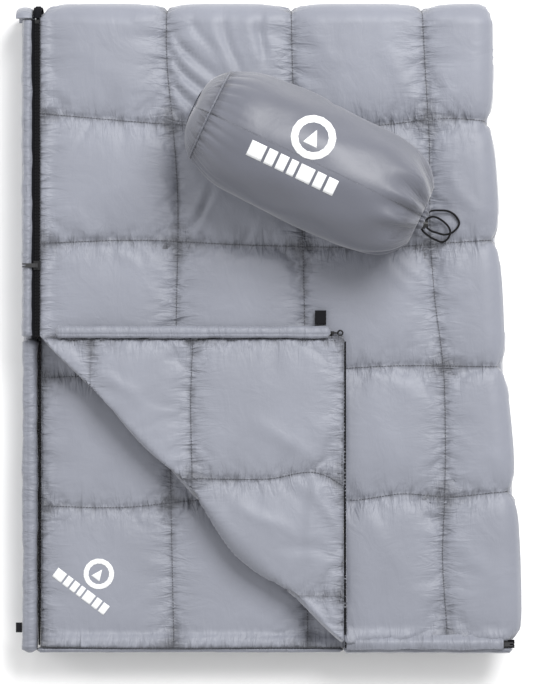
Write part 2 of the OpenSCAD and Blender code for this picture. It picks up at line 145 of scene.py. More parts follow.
@dataclass(frozen=True)
class Fabric:
    """Woven cloth with a faint sheen and painted shade in the valleys of the folds by its seams.

    Args:
        name: Material name.
        colour: Linear base colour.
        roughness: Base roughness.
        weave: Threads for each metre.
        crinkle: Depth of the fine creases in metres.
        mottle: Share by which the colour varies.
        sheen: Weight of the sheen.
        pucker: Height of the folds that run off a seam, in metres.
        shade: How far the painted shade darkens the folds' valleys.
        gloss: Level of the shine.
    """

    CLOUDS: ClassVar = {"Scale": 9.0, "Detail": 4.0}
    CREASES: ClassVar = {"Scale": 85.0, "Detail": 5.0, "Distortion": 0.6}
    FOLDS: ClassVar = {"Scale": 1.0, "Detail": 3.0, "Distortion": 1.1}
    STRETCH: ClassVar = {"Red": (88.0, 24.0, 0.0), "Green": (24.0, 88.0, 0.0), "Blue": (26.0, 19.0, 0.0)}
    # Painted shade in the fold valleys: the depths it spans and how dark it gets.
    VALLEY_SHADE_RANGE: ClassVar = {"From Min": 0.4, "From Max": 0.85}
    VALLEY_SHADE_GAIN: ClassVar = 0.2

    name: str
    colour: tuple[float, float, float]
    roughness: float = 0.5
    weave: float = 1400.0
    crinkle: float = 0.0006
    mottle: float = 0.06
    sheen: float = 0.3
    pucker: float = 0.008
    shade: float = 0.7
    gloss: float = 0.5

    def make(self) -> bpy.types.Material:
        """Builds the material.

        Returns:
            The new material.
        """
        material, shader = new_material(self.name, {
            "Base Color": self._tone(1.0), "Roughness": self.roughness, "Specular IOR Level": self.gloss,
            "Sheen Weight": self.sheen, "Sheen Roughness": 0.4,
        })
        tree = material.node_tree
        place = add_node(tree, "TexCoord", {}).outputs["Object"]
        creases = add_node(tree, "TexNoise", {"Vector": place, **self.CREASES}).outputs["Fac"]
        soft = add_node(tree, "Bump", {"Strength": 0.35, "Distance": self.crinkle, "Height": creases})
        normal, depth = self._puckers(tree, soft.outputs["Normal"])
        # Painted shade: the colour darkens in the folds' valleys near the seams, more where a valley is deeper.
        valley_shade = add_node(tree, "MapRange", {"Value": depth, "To Max": self.shade, **self.VALLEY_SHADE_RANGE})
        mottled, shaded_colour = self._mottle(tree, place), self._tone(self.VALLEY_SHADE_GAIN)
        mix = add_node(tree, "Mix", {0: valley_shade.outputs["Result"], 6: mottled, 7: shaded_colour}, data_type="RGBA")
        tree.links.new(mix.outputs[2], shader.inputs["Base Color"])
        for direction in ("X", "Y"):
            lines = {"Vector": place, "Scale": self.weave}
            wave = add_node(tree, "TexWave", lines, bands_direction=direction)
            threads = {"Strength": 0.15, "Distance": 0.00005, "Height": wave.outputs["Fac"], "Normal": normal}
            normal = add_node(tree, "Bump", threads).outputs["Normal"]
        tree.links.new(normal, shader.inputs["Normal"])
        return material

    def _tone(self, gain: float) -> tuple[float, float, float, float]:
        """The colour, darker or lighter."""
        return (*(c * gain for c in self.colour), 1.0)

    def _mottle(self, tree: bpy.types.NodeTree, place: bpy.types.NodeSocket) -> bpy.types.NodeSocket:
        """Colour that varies a little over the cloth."""
        cloud = add_node(tree, "TexNoise", {"Vector": place, **self.CLOUDS})
        ramp = add_node(tree, "ValToRGB", {"Fac": cloud.outputs["Fac"]})
        first, last = ramp.color_ramp.elements
        first.color, first.position = self._tone(1 - self.mottle), 0.3
        last.color, last.position = self._tone(1 + self.mottle), 0.7
        return ramp.outputs["Color"]

    def _puckers(
        self, tree: bpy.types.NodeTree, normal: bpy.types.NodeSocket
    ) -> tuple[bpy.types.NodeSocket, bpy.types.NodeSocket]:
        """Folds that run off the seams, as a normal and as the depth of their valleys, which sets their painted
        shade.
        """
        flat = add_node(tree, "UVMap", {}, uv_map="flat").outputs["UV"]
        tint = add_node(tree, "Attribute", {}, attribute_name="pucker").outputs["Color"]
        masks = add_node(tree, "SeparateColor", {"Color": tint}).outputs
        depth = None
        for channel, stretch in self.STRETCH.items():
            mask = masks[channel]
            scaled = add_node(tree, "VectorMath", {0: flat, 1: stretch}, operation="MULTIPLY")
            folds = add_node(tree, "TexNoise", {"Vector": scaled.outputs["Vector"], **self.FOLDS})
            height = add_node(tree, "Math", {0: folds.outputs["Fac"], 1: mask}, operation="MULTIPLY").outputs[0]
            ridge = {"Strength": 1.0, "Distance": self.pucker, "Height": height, "Normal": normal}
            normal = add_node(tree, "Bump", ridge).outputs["Normal"]
            deep = add_node(tree, "Math", {0: mask, 1: height}, operation="SUBTRACT").outputs["Value"]
            depth = deep if depth is None else add_node(tree, "Math", {0: depth, 1: deep}).outputs["Value"]
        return normal, depth


@dataclass(frozen=True)
class Smooth:
    """Plastic, enamel or metal with faint wear.

    Args:
        name: Material name.
        colour: Linear base colour.
        roughness: Mean roughness.
        metallic: Share of metal.
        gloss: Level of the shine.
    """

    name: str
    colour: tuple[float, float, float]
    roughness: float = 0.4
    metallic: float = 0.0
    gloss: float = 0.5

    def make(self) -> bpy.types.Material:
        """Builds the material.

        Returns:
            The new material.
        """
        material, shader = new_material(self.name, {
            "Base Color": (*self.colour, 1.0), "Metallic": self.metallic, "Specular IOR Level": self.gloss,
            "Roughness": self.roughness,
        })
        tree = material.node_tree
        place = add_node(tree, "TexCoord", {}).outputs["Object"]
        wear = add_node(tree, "TexNoise", {"Vector": place, "Scale": 220.0}).outputs["Fac"]
        worn = {"Value": wear, "To Min": self.roughness - 0.08, "To Max": self.roughness + 0.1}
        tree.links.new(add_node(tree, "MapRange", worn).outputs["Result"], shader.inputs["Roughness"])
        return material


class Palette:
    """Every finish of the part, made once."""

    FINISHES: dict[Slot, Fabric | Smooth] = {
        Slot.SHELL: Fabric("shell_cloth", (0.212, 0.222, 0.262)),
        Slot.LINING: Fabric("lining_cloth", (0.218, 0.228, 0.268)),
        Slot.TUBE: Fabric("tube_cloth", (0.205, 0.215, 0.254)),
        Slot.FILL: Fabric("fibre_filling", (0.72, 0.72, 0.70), 0.9, 200.0, 0.002),
        Slot.TAPE: Fabric("tape_cloth", (0.008, 0.008, 0.01), 0.85, 1400.0, 0.0001, 0.06, 0.0, gloss=0.05),
        Slot.HOOK: Fabric("hook_cloth", (0.01, 0.01, 0.012), 0.9, 900.0, 0.0004, 0.2, 0.02, gloss=0.15),
        Slot.SACK: Fabric("sack_cloth", (0.115, 0.12, 0.146), 0.42, 1100.0, 0.0007, 0.05, 0.3, 0.003),
        Slot.CORD: Fabric("braid", (0.008, 0.008, 0.009), 0.75, 1500.0, 0.0003, 0.25, 0.05, gloss=0.15),
        Slot.COIL: Smooth("coil_plastic", (0.005, 0.005, 0.006), 0.6, gloss=0.1),
        Slot.METAL: Smooth("slider_enamel", (0.008, 0.008, 0.009), 0.34, gloss=0.35),
        Slot.PULL: Smooth("pull_plastic", (0.016, 0.016, 0.018), 0.5),
        Slot.LOCK: Smooth("lock_plastic", (0.012, 0.012, 0.013), 0.35),
        Slot.SPRING: Smooth("spring_wire", (0.55, 0.55, 0.56), 0.3, 1.0),
    }

    def __init__(self) -> None:
        self.materials = {slot: finish.make() for slot, finish in self.FINISHES.items()}
        self.print = Smooth("print_ink", (0.78, 0.79, 0.80), 0.6).make()
        # Seam thread, dark so the sewn lines also stand in for the shade in the seam valleys: real thread,
        # partly painted shade.
        self.thread_and_seam_shade = Fabric("thread_and_seam_shade", (0.05, 0.052, 0.062), 0.7, 1400.0, 0.0001).make()

    def paint(self, piece: bpy.types.Object, slot: Slot, ink: bpy.types.Material | None = None) -> None:
        """Gives a piece the material of its slot, or another material in its place.

        Args:
            piece: The piece to paint.
            slot: The part's material slot.
            ink: Another material in place of the slot's own.
        """
        piece.data.materials.clear()
        piece.data.materials.append(ink or self.materials[slot])

    def dress_cad(self, nodes: dict[str, Slot]) -> None:
        """Paints CAD nodes that stay in view.

        Args:
            nodes: The slot of each node.
        """
        for name, slot in nodes.items():
            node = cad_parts[name]
            node.data.materials.clear()
            node.data.materials.append(self.materials[slot])


# ---------------------------------------------------------------- maths and mesh helpers


def curve_through(knots: Knots, at: np.ndarray) -> np.ndarray:
    """Smooth curve through given knots.

    Args:
        knots: Stations and offsets.
        at: Where to read it.

    Returns:
        The offset at each station.
    """
    stations, offsets = (np.array(k, float) for k in knots)
    order = np.argsort(stations)
    stations, offsets = stations[order], offsets[order]
    slope = np.gradient(offsets, stations)
    i = np.clip(np.searchsorted(stations, at) - 1, 0, len(stations) - 2)
    run = stations[i + 1] - stations[i]
    t = np.clip((at - stations[i]) / run, 0, 1)
    return (
        (2 * t**3 - 3 * t**2 + 1) * offsets[i]
        + (t**3 - 2 * t**2 + t) * run * slope[i]
        + (3 * t**2 - 2 * t**3) * offsets[i + 1]
        + (t**3 - t**2) * run * slope[i + 1]
    )


def step(value: np.ndarray, low: float, high: float) -> np.ndarray:
    """Smooth step from 0 at low to 1 at high."""
    t = np.clip((value - low) / (high - low), 0, 1)
    return t * t * (3 - 2 * t)


def soft_cap(height: np.ndarray, limit: np.ndarray | float) -> np.ndarray:
    """Heights that flatten off as they come near a limit."""
    return limit * np.tanh(height / limit)


def coordinates(piece: bpy.types.Object) -> np.ndarray:
    """Vertex coordinates of a piece in millimetres."""
    flat = np.empty(len(piece.data.vertices) * 3)
    piece.data.vertices.foreach_get("co", flat)
    return flat.reshape(-1, 3) / MM


def set_coordinates(piece: bpy.types.Object, points: np.ndarray) -> None:
    """Writes vertex coordinates given in millimetres."""
    piece.data.vertices.foreach_set("co", (points * MM).ravel())
    piece.data.update()


def select_only(piece: bpy.types.Object) -> None:
    """Makes a piece the only selected and the active one."""
    bpy.ops.object.select_all(action="DESELECT")
    piece.select_set(True)
    bpy.context.view_layer.objects.active = piece


@dataclass
class Panel:
    """A panel of puffed cloth in flat coordinates.

    Args:
        points: Rows, columns and x, v, height in millimetres.
        masks: Closeness to the seams across, to the seams along, and to the middle, from 0 to 1.
        rows: Mesh rows that are sewn.
        columns: Mesh columns that are sewn.
    """

    points: np.ndarray
    masks: np.ndarray
    rows: list[int]
    columns: list[int]

    def piece(self, name: str, across: slice = slice(None), along: slice = slice(None)) -> bpy.types.Object:
        """Makes a mesh of the panel, or of part of it.

        Args:
            name: Name of the piece.
            across: Mesh columns to take.
            along: Mesh rows to take.

        Returns:
            The new piece, still in flat coordinates, with its flat UV and pucker masks.
        """
        points, masks = self.points[along, across], self.masks[along, across]
        piece = grid_piece(name, points)
        set_pucker(piece.data, masks.reshape(-1, 3))
        set_flat(piece.data, points.reshape(-1, 3)[:, :2] * MM)
        return piece

    def seam_lines(self) -> list[np.ndarray]:
        """Flat points along each sewn line."""
        return [self.points[r] for r in self.rows] + [self.points[:, c] for c in self.columns]


def grid_piece(name: str, points: np.ndarray) -> bpy.types.Object:
    """Grid mesh through an array of points.

    Args:
        name: Name of the piece.
        points: Array of rows, columns and XYZ in millimetres.

    Returns:
        The new piece, at the origin.
    """
    rows, columns = points.shape[:2]
    bpy.ops.mesh.primitive_grid_add(x_subdivisions=columns - 1, y_subdivisions=rows - 1, size=1)
    piece = bpy.context.object
    piece.name = piece.data.name = name
    set_coordinates(piece, points.reshape(-1, 3))
    return piece


def edit_all(piece: bpy.types.Object, operate: Callable[..., object], **settings: object) -> None:
    """Runs an edit mode operator on all of a mesh.

    Args:
        piece: The mesh.
        operate: The operator.
        settings: The operator's settings.
    """
    select_only(piece)
    bpy.ops.object.mode_set(mode="EDIT")
    bpy.ops.mesh.select_all(action="SELECT")
    operate(**settings)
    bpy.ops.object.mode_set(mode="OBJECT")


def cut_flat(piece: bpy.types.Object, point: Sequence[float], normal: Sequence[float]) -> None:
    """Cuts a flat mesh and keeps the side that the normal points away from.

    Args:
        piece: The mesh.
        point: A point on the cut, in millimetres.
        normal: Direction of the side that goes.
    """
    place = [c * MM for c in point]
    edit_all(
        piece, bpy.ops.mesh.bisect, plane_co=place, plane_no=normal,
        use_fill=False, clear_inner=False, clear_outer=True,
    )


def face_outward(piece: bpy.types.Object) -> None:
    """Makes the faces of a closed piece look outward."""
    edit_all(piece, bpy.ops.mesh.normals_make_consistent, inside=False)


def thicken(piece: bpy.types.Object, depth: float, offset: float = -1.0) -> None:
    """Closes a sheet with a real thickness and smooth shading.

    Args:
        piece: The sheet.
        depth: Thickness in millimetres.
        offset: -1 grows against the normals, 1 along them.
    """
    select_only(piece)
    solid = piece.modifiers.new("thickness", "SOLIDIFY")
    solid.thickness = depth * MM
    solid.offset = offset
    bpy.ops.object.modifier_apply(modifier=solid.name)
    bpy.ops.object.shade_smooth()


def flip(piece: bpy.types.Object) -> None:
    """Turns a mesh inside out."""
    edit_all(piece, bpy.ops.mesh.flip_normals)


def set_flat(mesh: bpy.types.Mesh, flat: np.ndarray) -> None:
    """Writes each vertex's flat place as a mesh's UV map.

    Args:
        mesh: The mesh.
        flat: Flat places in metres, one for each vertex.
    """
    layer = mesh.uv_layers[0] if mesh.uv_layers else mesh.uv_layers.new()
    layer.name = "flat"
    corner = np.empty(len(mesh.loops), int)
    mesh.loops.foreach_get("vertex_index", corner)
    layer.data.foreach_set("uv", flat[corner].ravel())


def set_pucker(mesh: bpy.types.Mesh, masks: np.ndarray) -> None:
    """Writes the strength of the small folds at each vertex, which also sets the painted shade in their
    valleys.

    Args:
        mesh: The mesh.
        masks: Strength of the folds round it, along it and both ways, one row for each vertex.
    """
    tint = mesh.color_attributes.new("pucker", "FLOAT_COLOR", "POINT")
    tint.data.foreach_set("color", np.concatenate([masks, np.ones_like(masks[:, :1])], -1).ravel())


def loft(name: str, rings: np.ndarray, crimp: np.ndarray | tuple = (0, 0, 0)) -> bpy.types.Object:
    """Closed skin through rings of points.

    Args:
        name: Name of the piece.
        rings: Array of rings, points and XYZ in millimetres, each ring closed.
        crimp: Strength of its small folds, round it, along it and both ways, for all or for each ring.

    Returns:
        The new piece with smooth shading and outward faces.
    """
    count, around = rings.shape[:2]
    mesh = bpy.data.meshes.new(name)
    number = np.arange(count * around).reshape(count, around)
    after = np.roll(number, -1, axis=1)
    faces = np.stack([number[:-1], after[:-1], after[1:], number[1:]], -1).reshape(-1, 4).tolist()
    first, last = count * around, count * around + 1
    faces += [(first, b, a) for a, b in zip(number[0].tolist(), after[0].tolist())]
    faces += [(last, a, b) for a, b in zip(number[-1].tolist(), after[-1].tolist())]
    points = np.vstack([rings.reshape(-1, 3), rings[0].mean(axis=0), rings[-1].mean(axis=0)]) * MM
    mesh.from_pydata(points.tolist(), [], faces)
    folds = np.broadcast_to(np.asarray(crimp, float), (count, 3)).repeat(around, axis=0)
    set_pucker(mesh, np.vstack([folds, np.zeros((2, 3))]))
    run = np.concatenate([[0], np.cumsum(np.linalg.norm(np.diff(rings[:, 0], axis=0), axis=1))]) * MM
    middle = rings[count // 2]
    girth = float(np.linalg.norm(middle - np.roll(middle, 1, axis=0), axis=1).sum()) * MM
    flat = np.stack(np.meshgrid(run, np.arange(around) / around * girth, indexing="ij"), -1).reshape(-1, 2)
    set_flat(mesh, np.vstack([flat, np.zeros((2, 2))]))
    piece = bpy.data.objects.new(name, mesh)
    bpy.context.collection.objects.link(piece)
    face_outward(piece)
    bpy.ops.object.shade_smooth()
    return piece


def round_grid(low: float, high: float, rows: int, around: int) -> list[np.ndarray]:
    """Stations along a skin and angles round it, for each of its points.

    Args:
        low: First station.
        high: Last station.
        rows: Number of stations.
        around: Number of angles.

    Returns:
        The stations and the angles.
    """
    angles = np.linspace(0, 2 * pi, around, endpoint=False)
    return np.meshgrid(np.linspace(low, high, rows), angles, indexing="ij")


def join(name: str, parts: list[bpy.types.Object]) -> bpy.types.Object:
    """Joins parts into one piece.

    Args:
        name: Name of the joined piece.
        parts: The parts, which are used up.

    Returns:
        The joined piece.
    """
    bpy.ops.object.select_all(action="DESELECT")
    for part in parts:
        part.select_set(True)
    bpy.context.view_layer.objects.active = parts[0]
    bpy.ops.object.join()
    piece = bpy.context.object
    piece.name = piece.data.name = name
    return piece


# ---------------------------------------------------------------- quilted cloth


@dataclass(frozen=True)
class SeamGrid:
    """Sewn lines of a quilted panel, in flat millimetres.

    Args:
        columns: Lines that run up the panel, as x along v.
        rows: Lines that cross it, as v along x.
        across: Mesh steps in each column of cells.
        along: Mesh steps in each row of cells.
        free: Number of a column line that isn't sewn.
    """

    columns: tuple[Knots, ...]
    rows: tuple[Knots, ...]
    across: tuple[int, ...]
    along: tuple[int, ...]
    free: int = -1

    def lay_out(self) -> tuple[np.ndarray, np.ndarray, np.ndarray, np.ndarray]:
        """Lays a mesh over the seams.

        Returns:
            Flat x, flat v, and the share of the way across and along each cell.
        """
        a, b = np.meshgrid(self._marks(self.across), self._marks(self.along))
        col = np.minimum(a.astype(int), len(self.across) - 1)
        row = np.minimum(b.astype(int), len(self.along) - 1)
        fa, fb = a - col, b - row
        starts = np.array([c[1][0] for c in self.columns])
        sides = np.array([r[1][0] for r in self.rows])
        x = starts[col] * (1 - fa) + starts[col + 1] * fa
        v = sides[row] * (1 - fb) + sides[row + 1] * fb
        for _ in range(6):
            v = self._between(self.rows, x, row, fb)
            x = self._between(self.columns, v, col, fa)
        return x, v, fa, fb

    @staticmethod
    def _between(lines: tuple[Knots, ...], at: np.ndarray, cell: np.ndarray, share: np.ndarray) -> np.ndarray:
        """Offsets part of the way from each cell's first line to its next."""
        offsets = np.array([curve_through(line, at) for line in lines])
        first, after = (np.take_along_axis(offsets, cell[None] + k, 0)[0] for k in (0, 1))
        return first * (1 - share) + after * share

    @staticmethod
    def _marks(steps: tuple[int, ...]) -> np.ndarray:
        """Positions of the mesh lines, in cells."""
        return np.concatenate([[0.0]] + [k + np.arange(1, n + 1) / n for k, n in enumerate(steps)])


@dataclass(frozen=True)
class Filling:
    """How a panel puffs up between its seams.

    Args:
        pressure: Push of the filling.
        slack: Share of spare cloth in each cell.
        frames: Steps of the cloth simulation.
        loft: Share of the simulated height that is kept.
        steep: Power that sharpens the rise from a seam, below one.
        simulated: Whether the cloth is simulated or shaped by formula.
    """

    pressure: float = 4.0
    slack: float = 0.06
    frames: int = 20
    loft: float = 0.8
    steep: float = 0.72
    simulated: bool = True

    def puff(self, seams: SeamGrid) -> Panel:
        """Puffs a flat panel up between its seams.

        Args:
            seams: The panel's seams.

        Returns:
            The panel.
        """
        x, v, fa, fb = seams.lay_out()
        rows = np.cumsum((0,) + seams.along).tolist()
        columns = np.cumsum((0,) + seams.across).tolist()
        if seams.free > 0:
            start, middle, end = (columns[seams.free + k] for k in (-1, 0, 1))
            fa = fa.copy()
            fa[:, start:middle] *= 0.5
            fa[:, middle:end] = 0.5 + fa[:, middle:end] * 0.5
            columns.remove(middle)
        sewn = np.zeros(x.shape, bool)
        sewn[rows], sewn[:, columns] = True, True
        beside = np.minimum(fa, 1 - fa), np.minimum(fb, 1 - fb)
        masks = np.stack([np.exp(-beside[1] * 12), np.exp(-beside[0] * 12), 0.16 * np.ones_like(x)], -1)
        wave = np.sin(x / 7.0 + np.sin(v / 31.0) * 2) * np.sin(v / 9.0 + np.sin(x / 27.0) * 2)
        height = 26 * np.clip(np.sin(pi * fa) * np.sin(pi * fb), 0, 1) ** 0.5 * (1 + 0.05 * wave)
        if self.simulated:
            x, v, height = self._blow(x, v, sewn)
        height = np.where(sewn, 0, 25 * (np.clip(height, 0, None) / 25) ** self.steep) * self.loft
        return Panel(np.stack([x, v, height], -1), masks, rows, columns)

    def _blow(self, x: np.ndarray, v: np.ndarray, sewn: np.ndarray) -> tuple[np.ndarray, ...]:
        """Runs the cloth simulation, held at the sewn lines and pushed up from below."""
        noise = np.random.default_rng(3).normal(0, 0.3, x.shape)
        piece = grid_piece("cloth_run", np.stack([x, v, noise], -1))
        held = piece.vertex_groups.new(name="held")
        held.add([int(i) for i in np.flatnonzero(sewn.ravel())], 1.0, "REPLACE")
        cloth = piece.modifiers.new("cloth", "CLOTH")
        settings = cloth.settings
        settings.quality, settings.mass = 4, 0.15
        settings.tension_stiffness = settings.compression_stiffness = 15
        settings.shear_stiffness, settings.bending_stiffness = 3, 0.02
        settings.vertex_group_mass = held.name
        settings.effector_weights.gravity = 0
        settings.use_pressure = True
        settings.uniform_pressure_force = self.pressure
        settings.shrink_min = -self.slack
        settings.air_damping = 2
        cloth.collision_settings.use_collision = False
        cloth.collision_settings.use_self_collision = False
        cloth.point_cache.frame_end = self.frames + 1
        for number in range(1, self.frames + 1):
            bpy.context.scene.frame_set(number)
        select_only(piece)
        bpy.ops.object.modifier_apply(modifier=cloth.name)
        bpy.context.scene.frame_set(1)
        puffed = coordinates(piece).reshape(*x.shape, 3)
        bpy.data.objects.remove(piece)
        return puffed[..., 0], puffed[..., 1], puffed[..., 2]


@dataclass(frozen=True)
class Crease:
    """A long soft crease or ridge.

    Args:
        start: Where it starts, in millimetres.
        end: Where it ends.
        height: Height in millimetres, below zero for a furrow.
        width: Half width in millimetres.
    """

    start: tuple[float, float]
    end: tuple[float, float]
    height: float
    width: float

    def lift(self, x: np.ndarray, y: np.ndarray) -> np.ndarray:
        """Height that the crease adds at each point."""
        run = np.subtract(self.end, self.start)
        length = float(np.hypot(*run))
        along = ((x - self.start[0]) * run[0] + (y - self.start[1]) * run[1]) / length**2
        off = ((x - self.start[0]) * run[1] - (y - self.start[1]) * run[0]) / length
        bend = 6 * np.sin(along * 5)
        taper = np.sin(pi * np.clip(along, 0, 1)) ** 0.7
        return self.height * taper * np.exp(-(((off - bend) / self.width) ** 2))


EDGE_UP = (-437, -233, -55, 125, 295, 445)
EDGE_BACK = (525, 670, 840, 1020, 1198, 1402)
EDGE_X = (352, 344, 329, 320, 310, 309)


@dataclass(frozen=True)
class SackLine:
    """Axis and girth of the stuff sack."""

    centre: tuple[float, float, float] = (60.0, 231.0, 188.3)
    turn: float = radians(-25.7)
    length: float = 360.0

    def radius(self, s: np.ndarray) -> np.ndarray:
        """Radius at a distance from the base."""
        s = np.asarray(s, float)
        belly = curve_through(((0, 26, 60, 110, 250), (52, 66, 82, 88, 88)), s)
        neck = 88 * np.sqrt(np.clip(1 - (np.clip(s - 250, 0, None) / 112) ** 2.4, 0.012, 1))
        return np.where(s > 250, neck, belly)

    def frame(self) -> tuple[np.ndarray, np.ndarray, np.ndarray]:
        """Base point, axis and side directions."""
        axis = np.array([np.cos(self.turn), np.sin(self.turn), 0.0])
        side = np.array([-axis[1], axis[0], 0.0])
        return np.array(self.centre) - axis * self.length / 2, axis, side

    def underside(self, x: np.ndarray, y: np.ndarray) -> np.ndarray:
        """Height of the sack's underside over a point, very high beside it."""
        base, axis, side = self.frame()
        s = (x - base[0]) * axis[0] + (y - base[1]) * axis[1]
        off = (x - base[0]) * side[0] + (y - base[1]) * side[1]
        inside = self.radius(np.clip(s, 0, self.length)) ** 2 - off**2
        below = self.centre[2] - np.sqrt(np.clip(inside, 0, None))
        return np.where((inside > 0) & (s > 4) & (s < self.length - 6), below, 1e4)


class ShellFold:
    """Places the outer shell: over the top, round the head and side folds, and back along the ground."""

    ROUND, HALF, HEIGHT, WRAP = 14.0, 12.5, 37.5, 42.0
    HEM_LIFT = 6.6
    DIAGONAL_Z, FLAP_Z = 99.6, 99.4

    def __init__(self, sack: SackLine, creases: Sequence[Crease]) -> None:
        self.sack, self.creases = sack, creases
        self.angle = np.linspace(0, pi, 181)
        step_y, step_z = np.diff(self.ROUND * np.sin(self.angle)), np.diff(self.HEIGHT * np.cos(self.angle))
        arc = np.concatenate([[0], np.cumsum(np.hypot(step_y, step_z))])
        self.arc = arc / arc[-1]

    def place(self, flat: np.ndarray) -> np.ndarray:
        """Takes flat points to the folded shape.

        Args:
            flat: Points as x, v and height above the seams.

        Returns:
            Points in millimetres.
        """
        x, v, h = flat.T
        top, under = v <= HEAD_Y, v >= HEAD_Y + ROLL_FLAT
        phi = np.interp((v - HEAD_Y) / ROLL_FLAT, self.arc, self.angle)
        y = np.where(top, v, np.where(under, 2 * HEAD_Y + ROLL_FLAT - v, HEAD_Y + self.ROUND * np.sin(phi)))
        z = MIDDLE_Z + self.HEIGHT * np.cos(phi)
        ny, nz = np.sin(phi) / self.ROUND, np.cos(phi) / self.HEIGHT
        ny, nz = ny / np.hypot(ny, nz), nz / np.hypot(ny, nz)
        for crease in self.creases:
            h = h + step(v, 462, 432) * crease.lift(x, v) * np.clip(h / 9, 0, 1)
        edge = curve_through((EDGE_UP, EDGE_X), y) - self.ROUND
        turn = np.clip((x - edge) / self.WRAP, 0, 1) * pi
        deep = self.HALF * (1 - np.cos(turn))
        h = np.where(under, soft_cap(h, 12.4), np.where(top, soft_cap(h, 19.0), soft_cap(h, 13.0)))
        h = np.where(turn > pi / 2, soft_cap(h, 12.3), h)
        left = step(x, -323, -313)
        h = h * (0.12 + 0.88 * left)
        bent = np.sin(phi) ** 2
        close = 0.94 * bent * np.maximum(1 - left, step(turn, 0.7, pi / 2))
        share = np.clip(deep / self.HEIGHT + close, 0, 0.96)
        px = np.where(turn > 0, edge + self.ROUND * np.sin(turn) - np.clip(x - edge - self.WRAP, 0, None), x)
        py = y - (y - HEAD_Y) * np.where(top | under, 0, share) + h * ny * np.cos(turn)
        pz = z - (z - MIDDLE_Z) * share + h * nz * np.cos(turn)
        px = px + h * np.sin(turn)
        upper = v < HEAD_Y
        hem = step(x, -304, -321) * step(v, 456, 436) * step(x + v, DIAGONAL, DIAGONAL + 30)
        pz = pz + hem * self.HEM_LIFT
        u = (x + v - DIAGONAL) / np.sqrt(2)
        near = np.where(upper, step(u, 26, 0), 0)
        pz = np.where(turn < pi / 2, pz * (1 - near) + self.DIAGONAL_Z * near, pz)
        pinch = step(y, -426, -446) * step(turn, 0, 0.9) * (top | under)
        pz = pz + (np.where(top, 75, 25) - pz) * 0.93 * pinch
        px = px - 7 * pinch * np.sin(turn)
        foot = np.where(upper & (x > 100) & (turn < pi / 2), step(v, -424, -441), 0)
        pz = pz + foot * self.HEM_LIFT
        flap = upper & (x < 111) & (v < -14)
        pz = np.where(flap, np.minimum(pz, self.FLAP_Z), pz)
        pz = np.where(upper & (turn < pi / 2), np.minimum(pz, self.sack.underside(px, py) - 0.6), pz)
        return np.stack([px, py, np.maximum(pz, 0.3)], -1)


def side_line(past: float) -> Knots:
    """Line beside the side fold, up the top and back along the underside.

    Args:
        past: How far it lies past the fold's edge.

    Returns:
        The line's knots.
    """
    offsets = tuple(x + past for x in EDGE_X)
    return EDGE_UP + EDGE_BACK, offsets + offsets[::-1]


TOP_COLUMNS: tuple[Knots, ...] = (
    ((-900, 1500), (-322.6, -322.6)),
    ((-443, 0, 210, 290, 375, 500, 1408), (-128, -129, -128, -134, -142, -142, -130)),
    ((-443, 0, 142, 352, 500, 1408), (62, 54, 50, 37, 34, 55)),
    (
        (-426, -327, -240, -155, -55, 41, 122, 267, 375, 500, 1408),
        (256, 250, 253, 254, 251, 239, 233, 231, 225, 219, 245),
    ),
    side_line(7),
    side_line(88),
)
TOP_ROWS: tuple[Knots, ...] = (
    ((-319, 106, 250, 352, 440), (-443, -448, -448.4, -447, -447)),
    ((-319, 60, 106, 199, 253, 344, 440), (-228, -232, -244, -236, -240, -233, -233)),
    ((-319, 98, 175, 330, 440), (-62, -58, -54, -55, -55)),
    ((-319, -180, -26, 185, 320, 440), (121, 125, 118, 116, 125, 125)),
    ((-319, -133, 149, 274, 310, 440), (305, 290, 288, 298, 295, 295)),
    *(((-319, 440), (v, v)) for v in (500, 683, 866, 1049, 1232, 1405)),
)
CREASES: tuple[Crease, ...] = (
    Crease((-142, 436), (-62, 336), -8.0, 5),
    Crease((-142, 418), (-68, 320), 6.0, 5),
    Crease((-141, 402), (-74, 312), -8.0, 5),
    Crease((-140, 384), (-80, 300), 6.0, 5),
    Crease((-139, 366), (-84, 288), -8.0, 5),
    Crease((-138, 346), (-90, 272), 6.0, 5),
    Crease((-136, 322), (-92, 258), -7.0, 5),
    Crease((-110, 452), (-62, 372), -6.0, 5),
    Crease((-128, 118), (-60, 188), 6.0, 5),
    Crease((-126, 132), (-66, 200), -7.0, 5),
    Crease((-126, 150), (-75, 208), 6.0, 5),
    Crease((-60, 92), (-10, 150), -6.0, 6),
    Crease((-60, 100), (0, 150), 4.0, 9),
    Crease((-300, 430), (-180, 330), 2.5, 15),
    Crease((-78, 458), (-56, 350), 8.0, 6),
    Crease((-60, 458), (-42, 350), -9.0, 5),
    Crease((-2, 458), (-10, 372), -8.0, 5),
    Crease((-22, 458), (-24, 372), 6.0, 7),
    Crease((60, 450), (100, 360), 4.0, 12),
    Crease((160, 440), (215, 300), 5.0, 14),
    Crease((165, 110), (205, 40), 5.0, 9),
    Crease((182, 112), (235, 52), 4.0, 8),
    Crease((-160, 240), (-110, 120), 4.0, 12),
    Crease((-100, 140), (40, 60), 3.5, 16),
    Crease((-290, 180), (-150, 60), 3.5, 14),
    Crease((260, 230), (300, 150), 4.0, 9),
    Crease((120, -20), (230, -120), 3.0, 14),
    Crease((150, -60), (180, -210), 2.5, 14),
    Crease((230, -240), (330, -380), 4.0, 12),
    Crease((130, -230), (220, -400), 3.0, 12),
)


